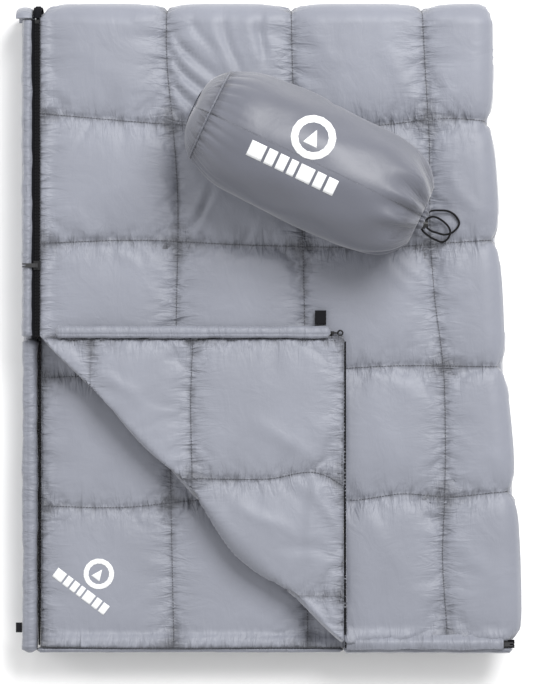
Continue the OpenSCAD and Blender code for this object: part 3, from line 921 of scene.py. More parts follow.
class Stitching:
    """Short threads along sewn lines.

    Args:
        name: Name of the piece.
        body: Body that the threads ride on.
    """

    LENGTH, WIDE, PITCH = 2.9, 0.9, 4.2

    def __init__(self, name: str, body: Body) -> None:
        self.name, self.body = name, body
        self.points: list[np.ndarray] = []

    def sew(self, line: np.ndarray, keep: np.ndarray) -> None:
        """Adds threads along a line.

        Args:
            line: Points in millimetres.
            keep: Which points are sewn.
        """
        run = np.concatenate([[0], np.cumsum(np.linalg.norm(np.diff(line, axis=0), axis=1))])
        at = np.arange(self.PITCH / 2, run[-1], self.PITCH)
        place = np.stack([np.interp(at, run, line[:, k]) for k in range(3)], -1)
        ahead = np.stack([np.interp(np.minimum(at + 1, run[-1]), run, line[:, k]) for k in range(3)], -1)
        ok = np.interp(at, run, keep.astype(float)) > 0.99
        along = (ahead - place)[ok]
        along /= np.linalg.norm(along, axis=1, keepdims=True) + 1e-9
        side = np.cross(along, (0, 0, 1.0))
        side /= np.linalg.norm(side, axis=1, keepdims=True) + 1e-9
        rise = np.cross(side, along)
        place = place[ok]
        for a, (b, c) in product((-1, 1), ((-1, -1), (1, -1), (1, 1), (-1, 1))):
            reach = a * self.LENGTH * (0.8 if c > 0 else 1) * along
            self.points.append(place + 0.5 * (reach + b * self.WIDE * side) + (0.35 + 0.35 * c) * rise)

    def build(self, palette: Palette) -> bpy.types.Object:
        """Makes the threads.

        Args:
            palette: The finishes.

        Returns:
            The piece.
        """
        points, faces, start = [], [], 0
        for k in range(0, len(self.points), 8):
            block = np.stack(self.points[k : k + 8], 1)
            count = len(block)
            points.append(block.reshape(-1, 3))
            for i in range(count):
                j = start + 8 * i
                for f in ((0, 1, 2, 3), (7, 6, 5, 4), (0, 4, 5, 1), (1, 5, 6, 2), (2, 6, 7, 3), (3, 7, 4, 0)):
                    faces.append(tuple(j + n for n in f))
            start += 8 * count
        mesh = bpy.data.meshes.new(self.name)
        mesh.from_pydata((np.vstack(points) * MM).tolist(), [], faces)
        piece = bpy.data.objects.new(self.name, mesh)
        bpy.context.collection.objects.link(piece)
        face_outward(piece)
        # Dark thread that also stands in for the shade in the seam valleys (painted shade).
        palette.paint(piece, Slot.TUBE, palette.thread_and_seam_shade)
        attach(piece, self.body.value)
        return piece


class OuterShell:
    """Outer shell of the top layer, both folds and the lowest layer, and of the turned-back corner."""

    ACROSS = (38, 37, 37, 18, 12)
    ALONG = (41, 36, 36, 34, 40, 18, 16, 16, 16, 16)
    APEX = 4

    def __init__(self, palette: Palette, sack: SackLine) -> None:
        self.palette = palette
        self.fold = ShellFold(sack, CREASES)
        self.seams = SeamGrid(TOP_COLUMNS, TOP_ROWS, self.ACROSS, self.ALONG, self.APEX)

    def build(self) -> list[bpy.types.Object]:
        """Makes the shell and the corner's shell.

        Returns:
            The pieces.
        """
        panel = Filling().puff(self.seams)
        apex = sum(self.ACROSS[: self.APEX])
        main = slice(0, apex + 1)
        shell, corner = panel.piece("quilt_outer_shell", main), panel.piece("corner_outer_shell", main)
        cut_flat(shell, (DIAGONAL / 2, DIAGONAL / 2, 0), (-1, -1, 0))
        cut_flat(corner, (DIAGONAL / 2, DIAGONAL / 2, 0), (1, 1, 0))
        set_coordinates(shell, self.fold.place(coordinates(shell)))
        thicken(shell, 0.9)
        self.palette.paint(shell, Slot.SHELL)
        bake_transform(shell)
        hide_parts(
            "upper_shell", "upper_fill", "head_fold_roll", "head_lower_shell", "head_lower_fill"
        )
        made = [shell, self._corner(corner)]
        bend = int(np.searchsorted(panel.points[:, 0, 1], HEAD_Y + ROLL_FLAT / 2))
        rest = slice(apex, None)
        for name, rows, body in (
            ("side_fold_upper", slice(0, bend + 1), Body.ROOT),
            ("side_fold_lower", slice(bend, None), Body.HEAD),
        ):
            piece = panel.piece(name, rest, rows)
            set_coordinates(piece, self.fold.place(coordinates(piece)))
            thicken(piece, 0.9)
            self.palette.paint(piece, Slot.SHELL)
            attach(piece, body.value)
            made.append(piece)
        made.append(self._threads(panel, apex))
        return made

    def _corner(self, corner: bpy.types.Object) -> bpy.types.Object:
        """Turns the corner's shell over, under its lining."""
        x, v, h = coordinates(corner).T
        u = (x + v - DIAGONAL) / np.sqrt(2)
        z = 87.2 + soft_cap(h, 12.0)
        near = step(u, -26, 0)
        z = np.minimum(z * (1 - near) + self.fold.DIAGONAL_Z * near, self.fold.DIAGONAL_Z)
        set_coordinates(corner, np.stack([DIAGONAL - v, DIAGONAL - x, 2 * TOP_Z - z], -1))
        thicken(corner, 0.8)
        face_outward(corner)
        self.palette.paint(corner, Slot.SHELL)
        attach(corner, Body.CORNER.value)
        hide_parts("corner_shell", "corner_fill")
        return corner

    def _threads(self, panel: Panel, apex: int) -> bpy.types.Object:
        """Sews the seams that show on the top layer."""
        threads = Stitching("shell_stitches", Body.ROOT)
        lines = [panel.points[r, : apex + 1] for r in panel.rows[1:5]]
        lines += [panel.points[: sum(self.ALONG[:5]) - 6, c] for c in panel.columns[:4]]
        for line in lines:
            x, v = line[:, 0], line[:, 1]
            hidden = (x + v < DIAGONAL + 4) | ((x < 112) & (v < -12))
            placed = self.fold.place(line)
            threads.sew(placed + (0, 0, 0.3), ~hidden)
        return threads.build(self.palette)


class TurnedLining:
    """Lining on top of the turned-back corner and round its diagonal fold."""

    FLAT_ROLL = 42.0
    BULGE: Knots = (
        (-300, -250, -200, -140, -90, -50, -10, 30, 70, 110, 150, 190, 225, 265, 300, 390),
        (5, 3.5, 3, 3, 4.5, 6, 8.5, 9, 8, 13, 19, 25, 24, 17, 11, 8),
    )
    SEAMS = SeamGrid(
        (
            ((-500, 0), (-400, -400)),
            ((-500, -230, -15), (-250, -250, -250)),
            ((-500, -213, -100, -15), (-103, -106, -108, -105)),
            ((-500, 0), (109, 109)),
        ),
        (
            ((-400, 109), (-534, -534)),
            ((-400, 109), (-372, -380)),
            ((-400, -125, 0, 80, 109), (-212, -213, -214, -208, -224)),
            ((-400, 109), (-15, -15)),
        ),
        (26, 30, 43),
        (30, 33, 40),
    )
    CREASES = (
        Crease((60, -200), (106, -300), 4.0, 9),
        Crease((80, -208), (-20, -120), 3.0, 12),
        Crease((81, -207), (50, -330), 3.5, 8),
        Crease((-60, -230), (40, -300), 3.0, 10),
        Crease((-260, -30), (-180, -110), 3.0, 9),
        Crease((105, -330), (20, -300), -3.0, 9),
    )

    def __init__(self, palette: Palette) -> None:
        self.palette = palette

    def build(self) -> list[bpy.types.Object]:
        """Makes the lining and its threads.

        Returns:
            The pieces.
        """
        panel = Filling(slack=0.07, loft=0.66).puff(self.SEAMS)
        lining = panel.piece("corner_turned_lining")
        reach = DIAGONAL - self.FLAT_ROLL * np.sqrt(2)
        cut_flat(lining, (reach / 2, reach / 2, 0), (-1, -1, 0))
        cut_flat(lining, (109, -443, 0), (1, -1, 0))
        cut_flat(lining, (-316, -18, 0), (-1, 1, 0))
        set_coordinates(lining, self.place(coordinates(lining)))
        thicken(lining, 0.9)
        face_outward(lining)
        self.palette.paint(lining, Slot.LINING)
        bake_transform(lining)
        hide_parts("corner_lining", "corner_fold_roll")
        threads = Stitching("corner_stitches", Body.CORNER)
        middle_row, middle_column = panel.points[panel.rows[2]], panel.points[:, panel.columns[2]]
        side_hem, top_hem = panel.points[:-3, panel.columns[3]] - (2.5, 0, 0), panel.points[-1] - (0, 3, 0)
        for line in (middle_row, middle_column, side_hem, top_hem):
            x, y = line[:, 0], line[:, 1]
            threads.sew(self.place(line) + (0, 0, 0.3), x + y > DIAGONAL + 14)
        return [lining, threads.build(self.palette)]

    def place(self, flat: np.ndarray) -> np.ndarray:
        """Takes flat points to the flap and its roll.

        Args:
            flat: Points as x, y and height above the seams.

        Returns:
            Points in millimetres.
        """
        x, y, h = flat.T
        u = (x + y - DIAGONAL) / np.sqrt(2)
        s = (x - y) / np.sqrt(2)
        h = soft_cap(h, 16.0)
        for crease in self.CREASES:
            h = h + crease.lift(x, y) * np.clip(h / 6, 0, 1)
        phi = np.clip(-u / self.FLAT_ROLL, 0, 1) * pi
        bulge = curve_through(self.BULGE, s)
        out = (bulge - 8 + np.clip(h, 0, 14) * 0.6) * np.sin(phi)
        z = TOP_Z + (13.2 + h * np.where(phi > pi / 2, 0.75, 1.0)) * np.cos(phi)
        fx = x + np.clip(-u, 0, None) / np.sqrt(2)
        fy = y + np.clip(-u, 0, None) / np.sqrt(2)
        return np.stack([fx - out / np.sqrt(2), fy - out / np.sqrt(2), z], -1)


LINING_COLUMNS: tuple[Knots, ...] = (
    ((-460, 440), (-322.5, -322.5)),
    ((-452, -200, 440), (-133, -138, -137)),
    ((-452, 440), (58, 50)),
    ((-452, 440), (235, 215)),
    (EDGE_UP, tuple(x - 14 for x in EDGE_X)),
)
LINING_ROWS: tuple[Knots, ...] = (
    ((-324, -133, 0, 340), (-455, -457, -456, -456)),
    ((-324, -200, -120, 340), (-254, -256, -248, -250)),
    ((-324, -270, 340), (-71, -69, -66)),
    *(((-324, 340), (y, y)) for y in (112, 297, 438)),
)


@dataclass(frozen=True)
class InnerFace:
    """One cloth face of an inner layer.

    Args:
        name: Name of the piece.
        layer: Number of the layer from the ground.
        up: Whether the face looks up.
        body: Body that it rides on.
        slot: Its material slot.
        nodes: CAD nodes that it replaces.
        steps: Mesh steps across and along.
        simulated: Whether the cloth is simulated.
        shown: Whether its seams are sewn with threads that show.
    """

    name: str
    layer: int
    up: bool
    body: Body
    slot: Slot
    nodes: tuple[str, ...]
    steps: tuple[tuple[int, ...], tuple[int, ...]] = ((14, 14, 13, 8), (14, 13, 13, 13, 11))
    simulated: bool = False
    shown: bool = False

    CREASES: ClassVar = (
        Crease((-250, -200), (-170, -120), 3.0, 12),
        Crease((-140, -220), (-60, -330), 3.5, 10),
        Crease((-60, -300), (40, -400), 4.0, 10),
        Crease((-300, -300), (-210, -420), 2.5, 12),
    )

    def build(self, palette: Palette) -> list[bpy.types.Object]:
        """Makes the face.

        Args:
            palette: The finishes.

        Returns:
            The pieces.
        """
        seams = SeamGrid(LINING_COLUMNS, LINING_ROWS, *self.steps)
        panel = Filling(simulated=self.simulated, loft=0.66).puff(seams)
        piece = panel.piece(self.name)
        if self.layer == 4:
            cut_flat(piece, (DIAGONAL / 2, DIAGONAL / 2, 0), (-1, -1, 0))
        set_coordinates(piece, self.place(coordinates(piece)))
        if not self.up:
            flip(piece)
        thicken(piece, 0.8)
        palette.paint(piece, self.slot)
        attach(piece, self.body.value)
        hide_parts(*self.nodes)
        if not self.shown:
            return [piece]
        threads = Stitching(self.name + "_stitches", self.body)
        for line in panel.seam_lines():
            threads.sew(self.place(line) + (0, 0, 0.3), line[:, 0] + line[:, 1] < DIAGONAL + 10)
        return [piece, threads.build(palette)]

    def place(self, flat: np.ndarray) -> np.ndarray:
        """Takes flat points to the layer's height.

        Args:
            flat: Points as x, y and height above the seams.

        Returns:
            Points in millimetres.
        """
        x, y, h = flat.T
        if self.shown:
            for crease in self.CREASES:
                h = h + crease.lift(x, y) * np.clip(h / 6, 0, 1)
        side = 1.0 if self.up else -1.0
        z = SEAM_Z[self.layer] + side * soft_cap(h, 12.3)
        if self.shown:
            z = np.minimum(z + 13.6 * step(y, -434, -449), 76.6)
        return np.stack([x, y, z], -1)


INNER_FACES: tuple[InnerFace, ...] = (
    InnerFace(
        "lower_lining_face", 3, True, Body.ROOT, Slot.LINING, ("lower_lining", "lower_fill"),
        ((38, 38, 20, 8), (41, 37, 18, 10, 8)), True, True,
    ),
    InnerFace("upper_lining_face", 4, False, Body.ROOT, Slot.LINING, ("upper_lining",)),
    InnerFace("lower_shell_face", 3, False, Body.ROOT, Slot.SHELL, ("lower_shell",)),
    InnerFace("head_upper_shell_face", 2, True, Body.HEAD, Slot.SHELL, ("head_upper_shell",)),
    InnerFace(
        "head_upper_lining_face", 2, False, Body.HEAD, Slot.LINING, ("head_upper_lining", "head_upper_fill")
    ),
    InnerFace("head_lower_lining_face", 1, True, Body.HEAD, Slot.LINING, ("head_lower_lining",)),
)


@dataclass(frozen=True)
class SoftTube:
    """Padded strip beside a zip.

    Args:
        name: Name of the piece.
        node: CAD node that it replaces, which gives its size.
        along: 0 for a strip along X, 1 along Y.
        body: Body that it rides on.
        trim: How far each side moves in, low then high, across the strip.
        reach: How far its far end passes the node's.
        slot: Its material slot.
    """

    name: str
    node: str
    along: int
    body: Body
    trim: tuple[float, float] = (0.0, 0.0)
    reach: float = 0.0
    slot: Slot = Slot.TUBE

    def build(self, palette: Palette) -> bpy.types.Object:
        """Makes the strip.

        Args:
            palette: The finishes.

        Returns:
            The piece.
        """
        low, high = (np.array(c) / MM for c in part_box(self.node))
        across = 1 - self.along
        low[across] += self.trim[0]
        high[across] -= self.trim[1]
        high[self.along] += self.reach
        length = high[self.along] - low[self.along]
        count = max(12, int(length / 4.5))
        run = np.linspace(0, length, count)
        theta = np.linspace(0, 2 * pi, 40, endpoint=False)
        s, t = np.meshgrid(run, theta, indexing="ij")
        rng = np.random.default_rng(len(self.name) + int(abs(low[0])))
        ripples = zip((5.1, 8.3, 14.0, 31.0), rng.uniform(0, 6, 4), (1, -1, 2, 0))
        wave = sum(np.sin(s / width + start + k * t) for width, start, k in ripples) / 4
        swell = 1 - 0.06 * (1 + np.sin(s / 46 + rng.uniform(0, 6))) / 2
        half = (high - low) / 2
        bump = swell * (1 + 0.11 * wave)
        ends = np.sqrt(np.clip(1 - (np.clip(4 - np.minimum(s, length - s), 0, 4) / 4.2) ** 2, 0.02, 1))
        wide = half[across] * np.sign(np.cos(t)) * np.abs(np.cos(t)) ** 0.9 * bump * ends
        tall = half[2] * np.sign(np.sin(t)) * np.abs(np.sin(t)) ** 0.85 * (0.5 + 0.5 * bump) * ends
        seam = np.exp(-(((wide / half[across]) + 0.35) / 0.09) ** 2) * (np.sin(t) > 0) * (half[2] > 4)
        tall = tall - 1.4 * seam
        points = np.zeros((*s.shape, 3))
        middle = (high + low) / 2
        points[..., self.along] = low[self.along] + s
        points[..., across] = middle[across] + wide
        points[..., 2] = middle[2] + tall
        piece = loft(self.name, points, STRIP_CRIMP)
        palette.paint(piece, self.slot)
        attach(piece, self.body.value)
        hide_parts(self.node)
        return piece


TUBES: tuple[SoftTube, ...] = (
    SoftTube("side_padded_strip", "side_draft_tube", 1, Body.ROOT, (0.0, -4.2), 1.5),
    SoftTube("lower_side_padded_strip", "lower_side_tube", 1, Body.ROOT, (0.0, -1.5)),
    SoftTube("foot_padded_strip", "foot_draft_tube", 0, Body.ROOT, (0.0, -3.4)),
    SoftTube("lower_foot_padded_strip", "lower_foot_tube", 0, Body.ROOT),
    SoftTube("head_side_padded_strip", "head_side_tube", 1, Body.HEAD, (0.0, -4.0), 1.5),
    SoftTube("corner_padded_strip", "corner_draft_tube", 0, Body.CORNER),
)


@dataclass(frozen=True)
class ChainCore:
    """Interlocked middle of a closed zip chain, between its two coils.

    Args:
        name: Name of the piece.
        start: Where it starts, in millimetres.
        end: Where it ends.
    """

    SECTION: ClassVar = ((-1, 93.1), (1, 93.1), (1, 94.9), (0, 95.4), (-1, 94.9))

    name: str
    start: tuple[float, float]
    end: tuple[float, float]

    def build(self, palette: Palette) -> bpy.types.Object:
        """Makes the core.

        Args:
            palette: The finishes.

        Returns:
            The piece.
        """
        a, b = np.array(self.start), np.array(self.end)
        length = float(np.hypot(*(b - a)))
        along = (b - a) / length
        side = np.array([-along[1], along[0]])
        run = np.arange(0, length, 0.7)
        tooth = 1.15 + 0.35 * np.sign(np.sin(run * 2 * pi / 2.8))
        rings = []
        for s, wide in zip(run, tooth):
            middle = a + along * s
            rings.append([(*(middle + side * w * wide), z) for w, z in self.SECTION])
        piece = loft(self.name, np.array(rings))
        palette.paint(piece, Slot.COIL)
        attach(piece, Body.ROOT.value)
        return piece


class FootHem:
    """Puffed hem of the shell, lying over the foot zip."""

    def build(self, palette: Palette) -> bpy.types.Object:
        """Makes the hem.

        Args:
            palette: The finishes.

        Returns:
            The piece.
        """
        x, t = round_grid(113, 336, 150, 28)
        wave = np.sin(x / 8.5 + np.sin(x / 31)) + 0.7 * np.sin(x / 21 + 1)
        y = -446.5 + (10.5 + 0.4 * wave) * np.cos(t)
        rise = 95.4 + 6.0 * step(-y, 436, 447) - 1.2 * step(-y, 449, 457)
        end = np.clip(np.minimum(x - 112, 337 - x) / 3, 0.2, 1)
        z = rise + (1.7 + 0.35 * wave * np.sin(t)) * np.sin(t) * end
        piece = loft("foot_zip_hem", np.stack([x, y, z], -1), crimp=(0.5, 0.1, 0.3))
        palette.paint(piece, Slot.SHELL)
        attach(piece, Body.ROOT.value)
        return piece


@dataclass(frozen=True)
class FoldBand:
    """Part of the side edge that goes on round the head fold.

    Args:
        name: Name of the piece.
        slot: Its material slot.
        middle: X of its middle line, in millimetres.
        bend: Half axes of its bend, along Y and Z.
        section: Across and out from the bend, in order round it.
        tooth: How far every other ring stands out.
    """

    name: str
    slot: Slot
    middle: float
    bend: tuple[float, float]
    section: tuple[tuple[float, float], ...]
    tooth: float = 0.0

    def build(self, palette: Palette) -> bpy.types.Object:
        """Makes the band.

        Args:
            palette: The finishes.

        Returns:
            The piece.
        """
        rings = []
        for n, angle in enumerate(np.linspace(0.02, pi - 0.02, 81)):
            place = np.array([np.sin(angle), np.cos(angle)]) * self.bend
            slope = place / np.square(self.bend)
            slope /= np.linalg.norm(slope)
            out = [h + self.tooth * (n % 2) * (h > 1) for _, h in self.section]
            rings.append([
                (self.middle + w[0], HEAD_Y + place[0] + h * slope[0], MIDDLE_Z + place[1] + h * slope[1])
                for w, h in zip(self.section, out)
            ])
        piece = loft(self.name, np.array(rings), (0, 0, 0) if self.tooth else STRIP_CRIMP)
        palette.paint(piece, self.slot)
        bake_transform(piece)
        return piece


FOLD_BANDS: tuple[FoldBand, ...] = (
    FoldBand(
        "head_fold_chain", Slot.TAPE, SIDE_CHAIN_X, (19, 42.5),
        ((-6, -0.9), (6, -0.9), (6, 0), (3.4, 0.2), (3.2, 1.4), (-3.2, 1.4), (-3.4, 0.2), (-6, 0)), 0.35,
    ),
    FoldBand(
        "head_fold_strip", Slot.TUBE, -346, (14, 43),
        tuple((11.6 * np.cos(t), 5.4 * np.sin(t)) for t in np.linspace(0, 2 * pi, 28, endpoint=False)),
    ),
)


CORES: tuple[ChainCore, ...] = (
    ChainCore("side_chain_core", (SIDE_CHAIN_X, -12), (SIDE_CHAIN_X, 438)),
    ChainCore("foot_chain_core", (112, FOOT_CHAIN_Y), (352, FOOT_CHAIN_Y)),
)


class StuffSack:
    """Packed sack with its base, piping, strap, gathered mouth and cord."""

    SEAM_S, TUBE = 26, 326
    ROUTE: tuple[tuple[float, float, float], ...] = (
        (217, 158, 172), (217, 156, 160), (217.5, 151, 146), (218, 149, 134), (218, 149, 114),
        (218, 147, 109), (219, 142, 104.5), (223, 136, 102.2), (232, 129, 102), (240, 125, 102),
        (248, 122, 102.3), (255, 125, 103.6), (259, 131, 105.6), (260, 137, 105.8), (258, 143, 104.4),
        (253, 149, 102.6), (245, 155, 102), (237, 158, 102), (229, 156, 102), (225, 150, 102),
        (227, 143, 102), (233, 138, 102), (242, 135, 102), (252, 132.5, 102), (262, 135, 102),
        (270, 142, 102), (273, 150, 102), (267, 160, 102), (257, 166, 102), (244, 167, 102),
        (232, 166, 102), (223, 161, 102.4), (217, 154, 104.5), (215.5, 148, 108.5), (217, 145, 114),
        (218, 145, 121), (218, 145, 134), (217, 148, 147), (215.5, 152, 160), (215, 154, 172),
    )

    def __init__(self, palette: Palette, line: SackLine) -> None:
        self.palette, self.line = palette, line

    def point(self, s: np.ndarray, radius: np.ndarray, theta: np.ndarray) -> np.ndarray:
        """Points round the sack's axis, theta from the top."""
        base, axis, side = self.line.frame()
        up = np.array([0.0, 0.0, 1.0])
        s, radius, theta = np.broadcast_arrays(s, radius, theta)
        return base + s[..., None] * axis + radius[..., None] * (
            np.cos(theta)[..., None] * up + np.sin(theta)[..., None] * side
        )

    def build(self) -> list[bpy.types.Object]:
        """Makes the sack.

        Returns:
            The pieces.
        """
        made = [self._tube(), self._bundle(), self._base(), self._piping(), self._strap(), self._channel()]
        for piece in made:
            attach(piece, Body.SACK.value)
        made.append(self._cord())
        return made

    def _tube(self) -> bpy.types.Object:
        """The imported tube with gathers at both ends."""
        s, theta = round_grid(self.SEAM_S, self.SEAM_S + self.TUBE, 150, 240)
        radius = self.line.radius(s)
        gathers = np.abs(np.sin(15 * theta + 0.9 * np.sin(4 * theta) + s / 60)) - 0.55
        past = s - self.SEAM_S
        radius = radius + 3.4 * gathers * np.exp(-((past / 26) ** 1.3)) * np.clip((past + 1) / 5, 0, 1)
        pleats = np.sin(10 * theta + 1.7 * np.sin(3 * theta) + 0.5 * np.sin(s / 19))
        neck = step(s, 262, 338)
        radius = radius + pleats * neck * (1.2 + 5.5 * neck) * np.clip(radius / 60, 0.18, 1)
        long_folds = np.sin(5 * theta + s / 47) * np.sin(s / 61 + 2 * theta)
        long_folds = long_folds + 0.6 * np.sin(9 * theta - s / 23)
        radius = radius + 1.1 * long_folds * np.sin(pi * past / self.TUBE)
        dent = np.exp(-(((s - 205 + 30 * np.sin(theta)) / 7) ** 2)) * np.clip(np.cos(theta - 2.1), 0, 1)
        radius = radius - 2.0 * dent
        points = self.point(s, radius, theta)
        points[..., 2] = np.maximum(points[..., 2], 100.7)
        gather = np.exp(-((past[:, 0] / 16) ** 2)) + 0.8 * step(s[:, 0], 285, 345)
        piece = loft("sack_body", points, self._crimp(gather))
        self.palette.paint(piece, Slot.SACK)
        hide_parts("sack_tube")
        return piece

    def _bundle(self) -> bpy.types.Object:
        """The rolled bundle inside, clear of the cloth round it."""
        s, theta = round_grid(34, 318, 60, 72)
        close = 12 * np.exp(-(((s - 34) / 14) ** 2)) + 14 * step(s, 270, 318)
        radius = np.minimum(self.line.radius(s), 86) - 9 - close
        points = self.point(s, radius * (1 + 0.012 * np.sin(8 * theta + s / 30)), theta)
        points[..., 2] = np.maximum(points[..., 2], 104)
        piece = loft("sack_packed_bundle", points)
        self.palette.paint(piece, Slot.FILL)
        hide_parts("packed_bundle")
        return piece

    def _base(self) -> bpy.types.Object:
        """The round base, drawn in by its seam."""
        s, theta = round_grid(0, 1, 26, 160)
        radius = 66.5 * s**0.94
        height = 1.5 + 23.5 * s**3.6 + 1.2 * np.sin(3 * theta + 1) * np.sin(pi * s)
        height = height + 0.9 * np.sin(13 * theta + 2 * np.sin(2 * theta)) * s**6
        points = self.point(height, np.maximum(radius, 0.4), theta)
        inner = self.point(height[::-1] + 2.2, np.maximum(radius[::-1] - 1.5, 0.3), theta)
        crimp = self._crimp(0.9 * np.exp(-(((s[:, 0] - 1) / 0.24) ** 2)))
        piece = loft("sack_round_base", np.concatenate([points, inner]), np.concatenate([crimp, 0 * crimp]))
        self.palette.paint(piece, Slot.SACK)
        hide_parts("sack_base")
        return piece

    @staticmethod
    def _crimp(gather: np.ndarray) -> np.ndarray:
        """Fold strengths for each ring, from the strength of its gathers."""
        return np.stack([0 * gather, gather, 0 * gather + 0.2], -1)

    def _ring(
        self, name: str, at: float, big: float, small: float, ruffle: float, folds: int
    ) -> bpy.types.Object:
        """A ring of cloth round the axis."""
        bpy.ops.mesh.primitive_torus_add(
            major_segments=200, minor_segments=16, major_radius=big * MM, minor_radius=small * MM
        )
        piece = bpy.context.object
        piece.name = piece.data.name = name
        x, y, z = coordinates(piece).T
        theta = np.arctan2(y, x)
        radius = np.hypot(x, y) + ruffle * np.sin(folds * theta + 1.3 * np.sin(3 * theta))
        height = z * (1 + 0.25 * np.sin(folds * theta)) if ruffle else z
        set_coordinates(piece, self.point(at + height, radius, theta))
        face_outward(piece)
        bpy.ops.object.shade_smooth()
        self.palette.paint(piece, Slot.SACK)
        return piece

    def _piping(self) -> bpy.types.Object:
        """The corded seam round the base."""
        piece = self._ring("sack_corded_seam", 25.6, 66.6, 1.3, 0.3, 60)
        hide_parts("sack_base_piping")
        return piece

    def _channel(self) -> bpy.types.Object:
        """The gathered hem that the cord runs in."""
        piece = self._ring("sack_gathered_hem", 354.0, 12.5, 5.4, 1.5, 13)
        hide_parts("sack_channel")
        return piece

    def _strap(self) -> bpy.types.Object:
        """The webbing handle across the base."""
        low, high = (np.array(c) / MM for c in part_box("sack_grab_strap"))
        base, axis, side = self.line.frame()
        run, ring = np.meshgrid(np.linspace(-1, 1, 31), np.arange(4), indexing="ij")
        length = min(30.0, (high[2] - low[2]) / 2 + 20)
        lift = 7.5 * (1 - run**4) + 1.2
        wide = np.choose(ring, (-10.0, 10.0, 10.0, -10.0))
        thick = np.choose(ring, (0.0, 0.0, 1.6, 1.6))
        up = np.array([0.0, 0.0, 1.0])
        points = base + axis * 4.2 - (lift + thick)[..., None] * axis * 0.55
        points = points + (run * length)[..., None] * side + wide[..., None] * up
        piece = loft("sack_handle", points)
        self.palette.paint(piece, Slot.SACK)
        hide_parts("sack_grab_strap")
        return piece

    def _cord(self) -> bpy.types.Object:
        """The drawcord, from the mouth through the lock, round its loops and back."""
        route = np.array(self.ROUTE, float)
        knots = np.arange(len(route))
        fine = np.linspace(0, len(route) - 1, 4 * len(route))
        path = np.stack([curve_through((knots, route[:, k]), fine) for k in range(3)], -1)
        ahead = np.gradient(path, axis=0)
        ahead /= np.linalg.norm(ahead, axis=1, keepdims=True)
        side, rings = np.cross(ahead[0], (1.0, 0.3, 0.2)), []
        theta = np.linspace(0, 2 * pi, 12, endpoint=False)
        for place, along in zip(path, ahead):
            side = side - along * (side @ along)
            side /= np.linalg.norm(side)
            other = np.cross(along, side)
            rings.append(place + 1.5 * (np.cos(theta)[:, None] * side + np.sin(theta)[:, None] * other))
        piece = loft("drawcord_line", np.array(rings))
        self.palette.paint(piece, Slot.CORD)
        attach(piece, Body.SACK.value)
        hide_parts("drawcord")
        return piece


@dataclass(frozen=True)
class PrintMark:
    """A plain printed mark, a ring over a row of blocks, laid on a piece.

    Args:
        name: Name of the piece.
        centre: Middle of the mark, in millimetres.
        turn: Direction of its row, in degrees.
        size: Length of its row.
        body: Body that it rides on.
        slot: Its material slot.
    """

    BLOCKS: ClassVar = (17, 10, 10, 8, 16, 10, 11)
    RING: ClassVar = (16, 24)

    name: str
    centre: tuple[float, float]
    turn: float
    size: float
    body: Body
    slot: Slot

    def build(self, palette: Palette, under: bpy.types.Object) -> bpy.types.Object:
        """Makes the mark.

        Args:
            palette: The finishes.
            under: The piece that it is printed on.

        Returns:
            The piece.
        """
        tree = BVHTree.FromPolygons(
            [v.co for v in under.data.vertices], [tuple(p.vertices) for p in under.data.polygons]
        )
        shapes = []
        at = -50.0
        for wide in self.BLOCKS:
            shapes.append(((at, -26), (at + wide, -26), (at + wide, -9), (at, -9)))
            at += wide + 3
        turns = np.linspace(0, 2 * pi, 17)
        inner, outer = self.RING
        for a, b in zip(turns[:-1], turns[1:]):
            corners = ((inner, a), (inner, b), (outer, b), (outer, a))
            shapes.append(tuple((r * np.sin(t) + 6, 21 + r * np.cos(t)) for r, t in corners))
        shapes.append(((-2, 12), (14, 12), (6.3, 29), (5.7, 29)))
        cells = []
        c, s = np.cos(radians(self.turn)), np.sin(radians(self.turn))
        for quad in shapes:
            q = np.array(quad) * self.size / 100
            u, v = np.meshgrid(np.linspace(0, 1, 6), np.linspace(0, 1, 6))
            flat = (
                q[0] * ((1 - u) * (1 - v))[..., None] + q[1] * (u * (1 - v))[..., None]
                + q[2] * (u * v)[..., None] + q[3] * ((1 - u) * v)[..., None]
            )
            x = self.centre[0] + flat[..., 0] * c - flat[..., 1] * s
            y = self.centre[1] + flat[..., 0] * s + flat[..., 1] * c
            z = np.empty_like(x)
            for index in np.ndindex(x.shape):
                hit = tree.ray_cast(Vector((x[index] * MM, y[index] * MM, 0.5)), Vector((0, 0, -1)))[0]
                z[index] = (hit.z if hit else 0.1) / MM + 0.25
            cell = grid_piece("cell", np.stack([x, y, z], -1))
            thicken(cell, 0.2, 1.0)
            cells.append(cell)
        piece = join(self.name, cells)
        face_outward(piece)
        palette.paint(piece, self.slot, palette.print)
        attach(piece, self.body.value)
        return piece


# ---------------------------------------------------------------- studio


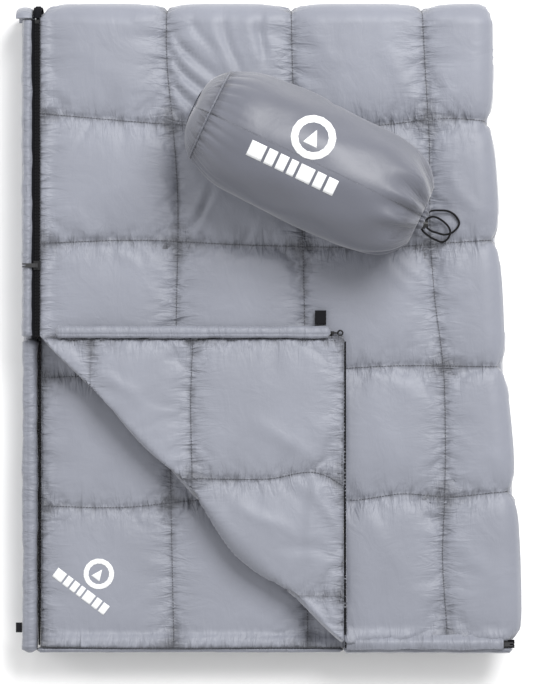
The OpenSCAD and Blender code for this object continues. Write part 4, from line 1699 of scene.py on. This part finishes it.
class Studio:
    """Floor, lights and camera."""

    def build(self) -> None:
        """Sets the studio up."""
        bpy.ops.mesh.primitive_plane_add(size=12, location=(0, 0, 0))
        floor = bpy.context.object
        floor.name = "floor"
        material = bpy.data.materials.new("floor_white")
        material.use_nodes = True
        shader = material.node_tree.nodes["Principled BSDF"]
        shader.inputs["Base Color"].default_value = (0.93, 0.93, 0.93, 1)
        shader.inputs["Roughness"].default_value = 0.9
        floor.data.materials.append(material)
        world = bpy.data.worlds.new("studio")
        bpy.context.scene.world = world
        world.use_nodes = True
        back = world.node_tree.nodes["Background"]
        back.inputs["Color"].default_value = (1, 1, 1, 1)
        back.inputs["Strength"].default_value = 0.78
        self._light("key", (1.5, 2.4, 3.9), 2.2, 232)
        self._light("rim", (-2.6, 1.0, 1.6), 1.2, 16)
        lens = bpy.data.cameras.new("camera")
        camera = bpy.data.objects.new("camera", lens)
        bpy.context.collection.objects.link(camera)
        camera.location = (-0.0007, -0.0199, 6.0)
        lens.sensor_fit, lens.sensor_width, lens.lens = "HORIZONTAL", 36.0, 280.5
        bpy.context.scene.camera = camera
        bpy.context.scene.view_settings.view_transform = "Standard"

    @staticmethod
    def _light(name: str, place: tuple[float, float, float], size: float, power: float) -> None:
        """Adds an area light aimed at the quilt."""
        data = bpy.data.lights.new(name, "AREA")
        data.energy, data.size = power, size
        light = bpy.data.objects.new(name, data)
        bpy.context.collection.objects.link(light)
        light.location = place
        light.rotation_euler = (-Vector(place)).to_track_quat("-Z", "Y").to_euler()


CAD_FINISH: dict[str, Slot] = {
    "side_tape_inner": Slot.TAPE, "side_tape_outer": Slot.TAPE, "foot_tape_inner": Slot.TAPE,
    "foot_tape_outer": Slot.TAPE, "corner_side_tape": Slot.TAPE,
    "side_coil_inner": Slot.COIL, "side_coil_outer": Slot.COIL, "side_top_stop": Slot.METAL,
    "lower_side_coil": Slot.COIL, "foot_coil_inner": Slot.COIL, "foot_coil_outer": Slot.COIL,
    "lower_foot_coil": Slot.COIL, "corner_side_coil": Slot.COIL, "corner_foot_coil": Slot.COIL,
    "side_slider": Slot.METAL, "side_pull": Slot.PULL, "foot_slider": Slot.METAL, "foot_pull": Slot.PULL,
    "corner_slider": Slot.METAL, "corner_ring_pull": Slot.METAL,
    "corner_tab_base": Slot.HOOK, "corner_tab": Slot.HOOK, "edge_tab": Slot.HOOK,
    "cord_lock_barrel": Slot.LOCK, "cord_lock_plunger": Slot.LOCK, "cord_lock_spring": Slot.SPRING,
}


def main() -> None:
    """Builds everything in order and reports each piece."""
    logging.basicConfig(level=logging.INFO, format="%(message)s")
    palette = Palette()
    sack_line = SackLine()
    Studio().build()
    made: list[bpy.types.Object] = []
    made += OuterShell(palette, sack_line).build()
    made += TurnedLining(palette).build()
    for face in INNER_FACES:
        made += face.build(palette)
    made += [part.build(palette) for part in (*TUBES, *CORES, FootHem(), *FOLD_BANDS)]
    made += StuffSack(palette, sack_line).build()
    lining_mark = PrintMark("lining_print", (-256, -363), -37, 92, Body.ROOT, Slot.LINING)
    sack_mark = PrintMark("sack_print", (45, 241), -25.7, 132, Body.SACK, Slot.SACK)
    made.append(lining_mark.build(palette, bpy.data.objects["lower_lining_face"]))
    made.append(sack_mark.build(palette, bpy.data.objects["sack_body"]))
    palette.dress_cad(CAD_FINISH)
    for piece in made:
        LOG.info("%s: %d vertices", piece.name, len(piece.data.vertices))
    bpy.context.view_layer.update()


if __name__ == "__main__":
    main()
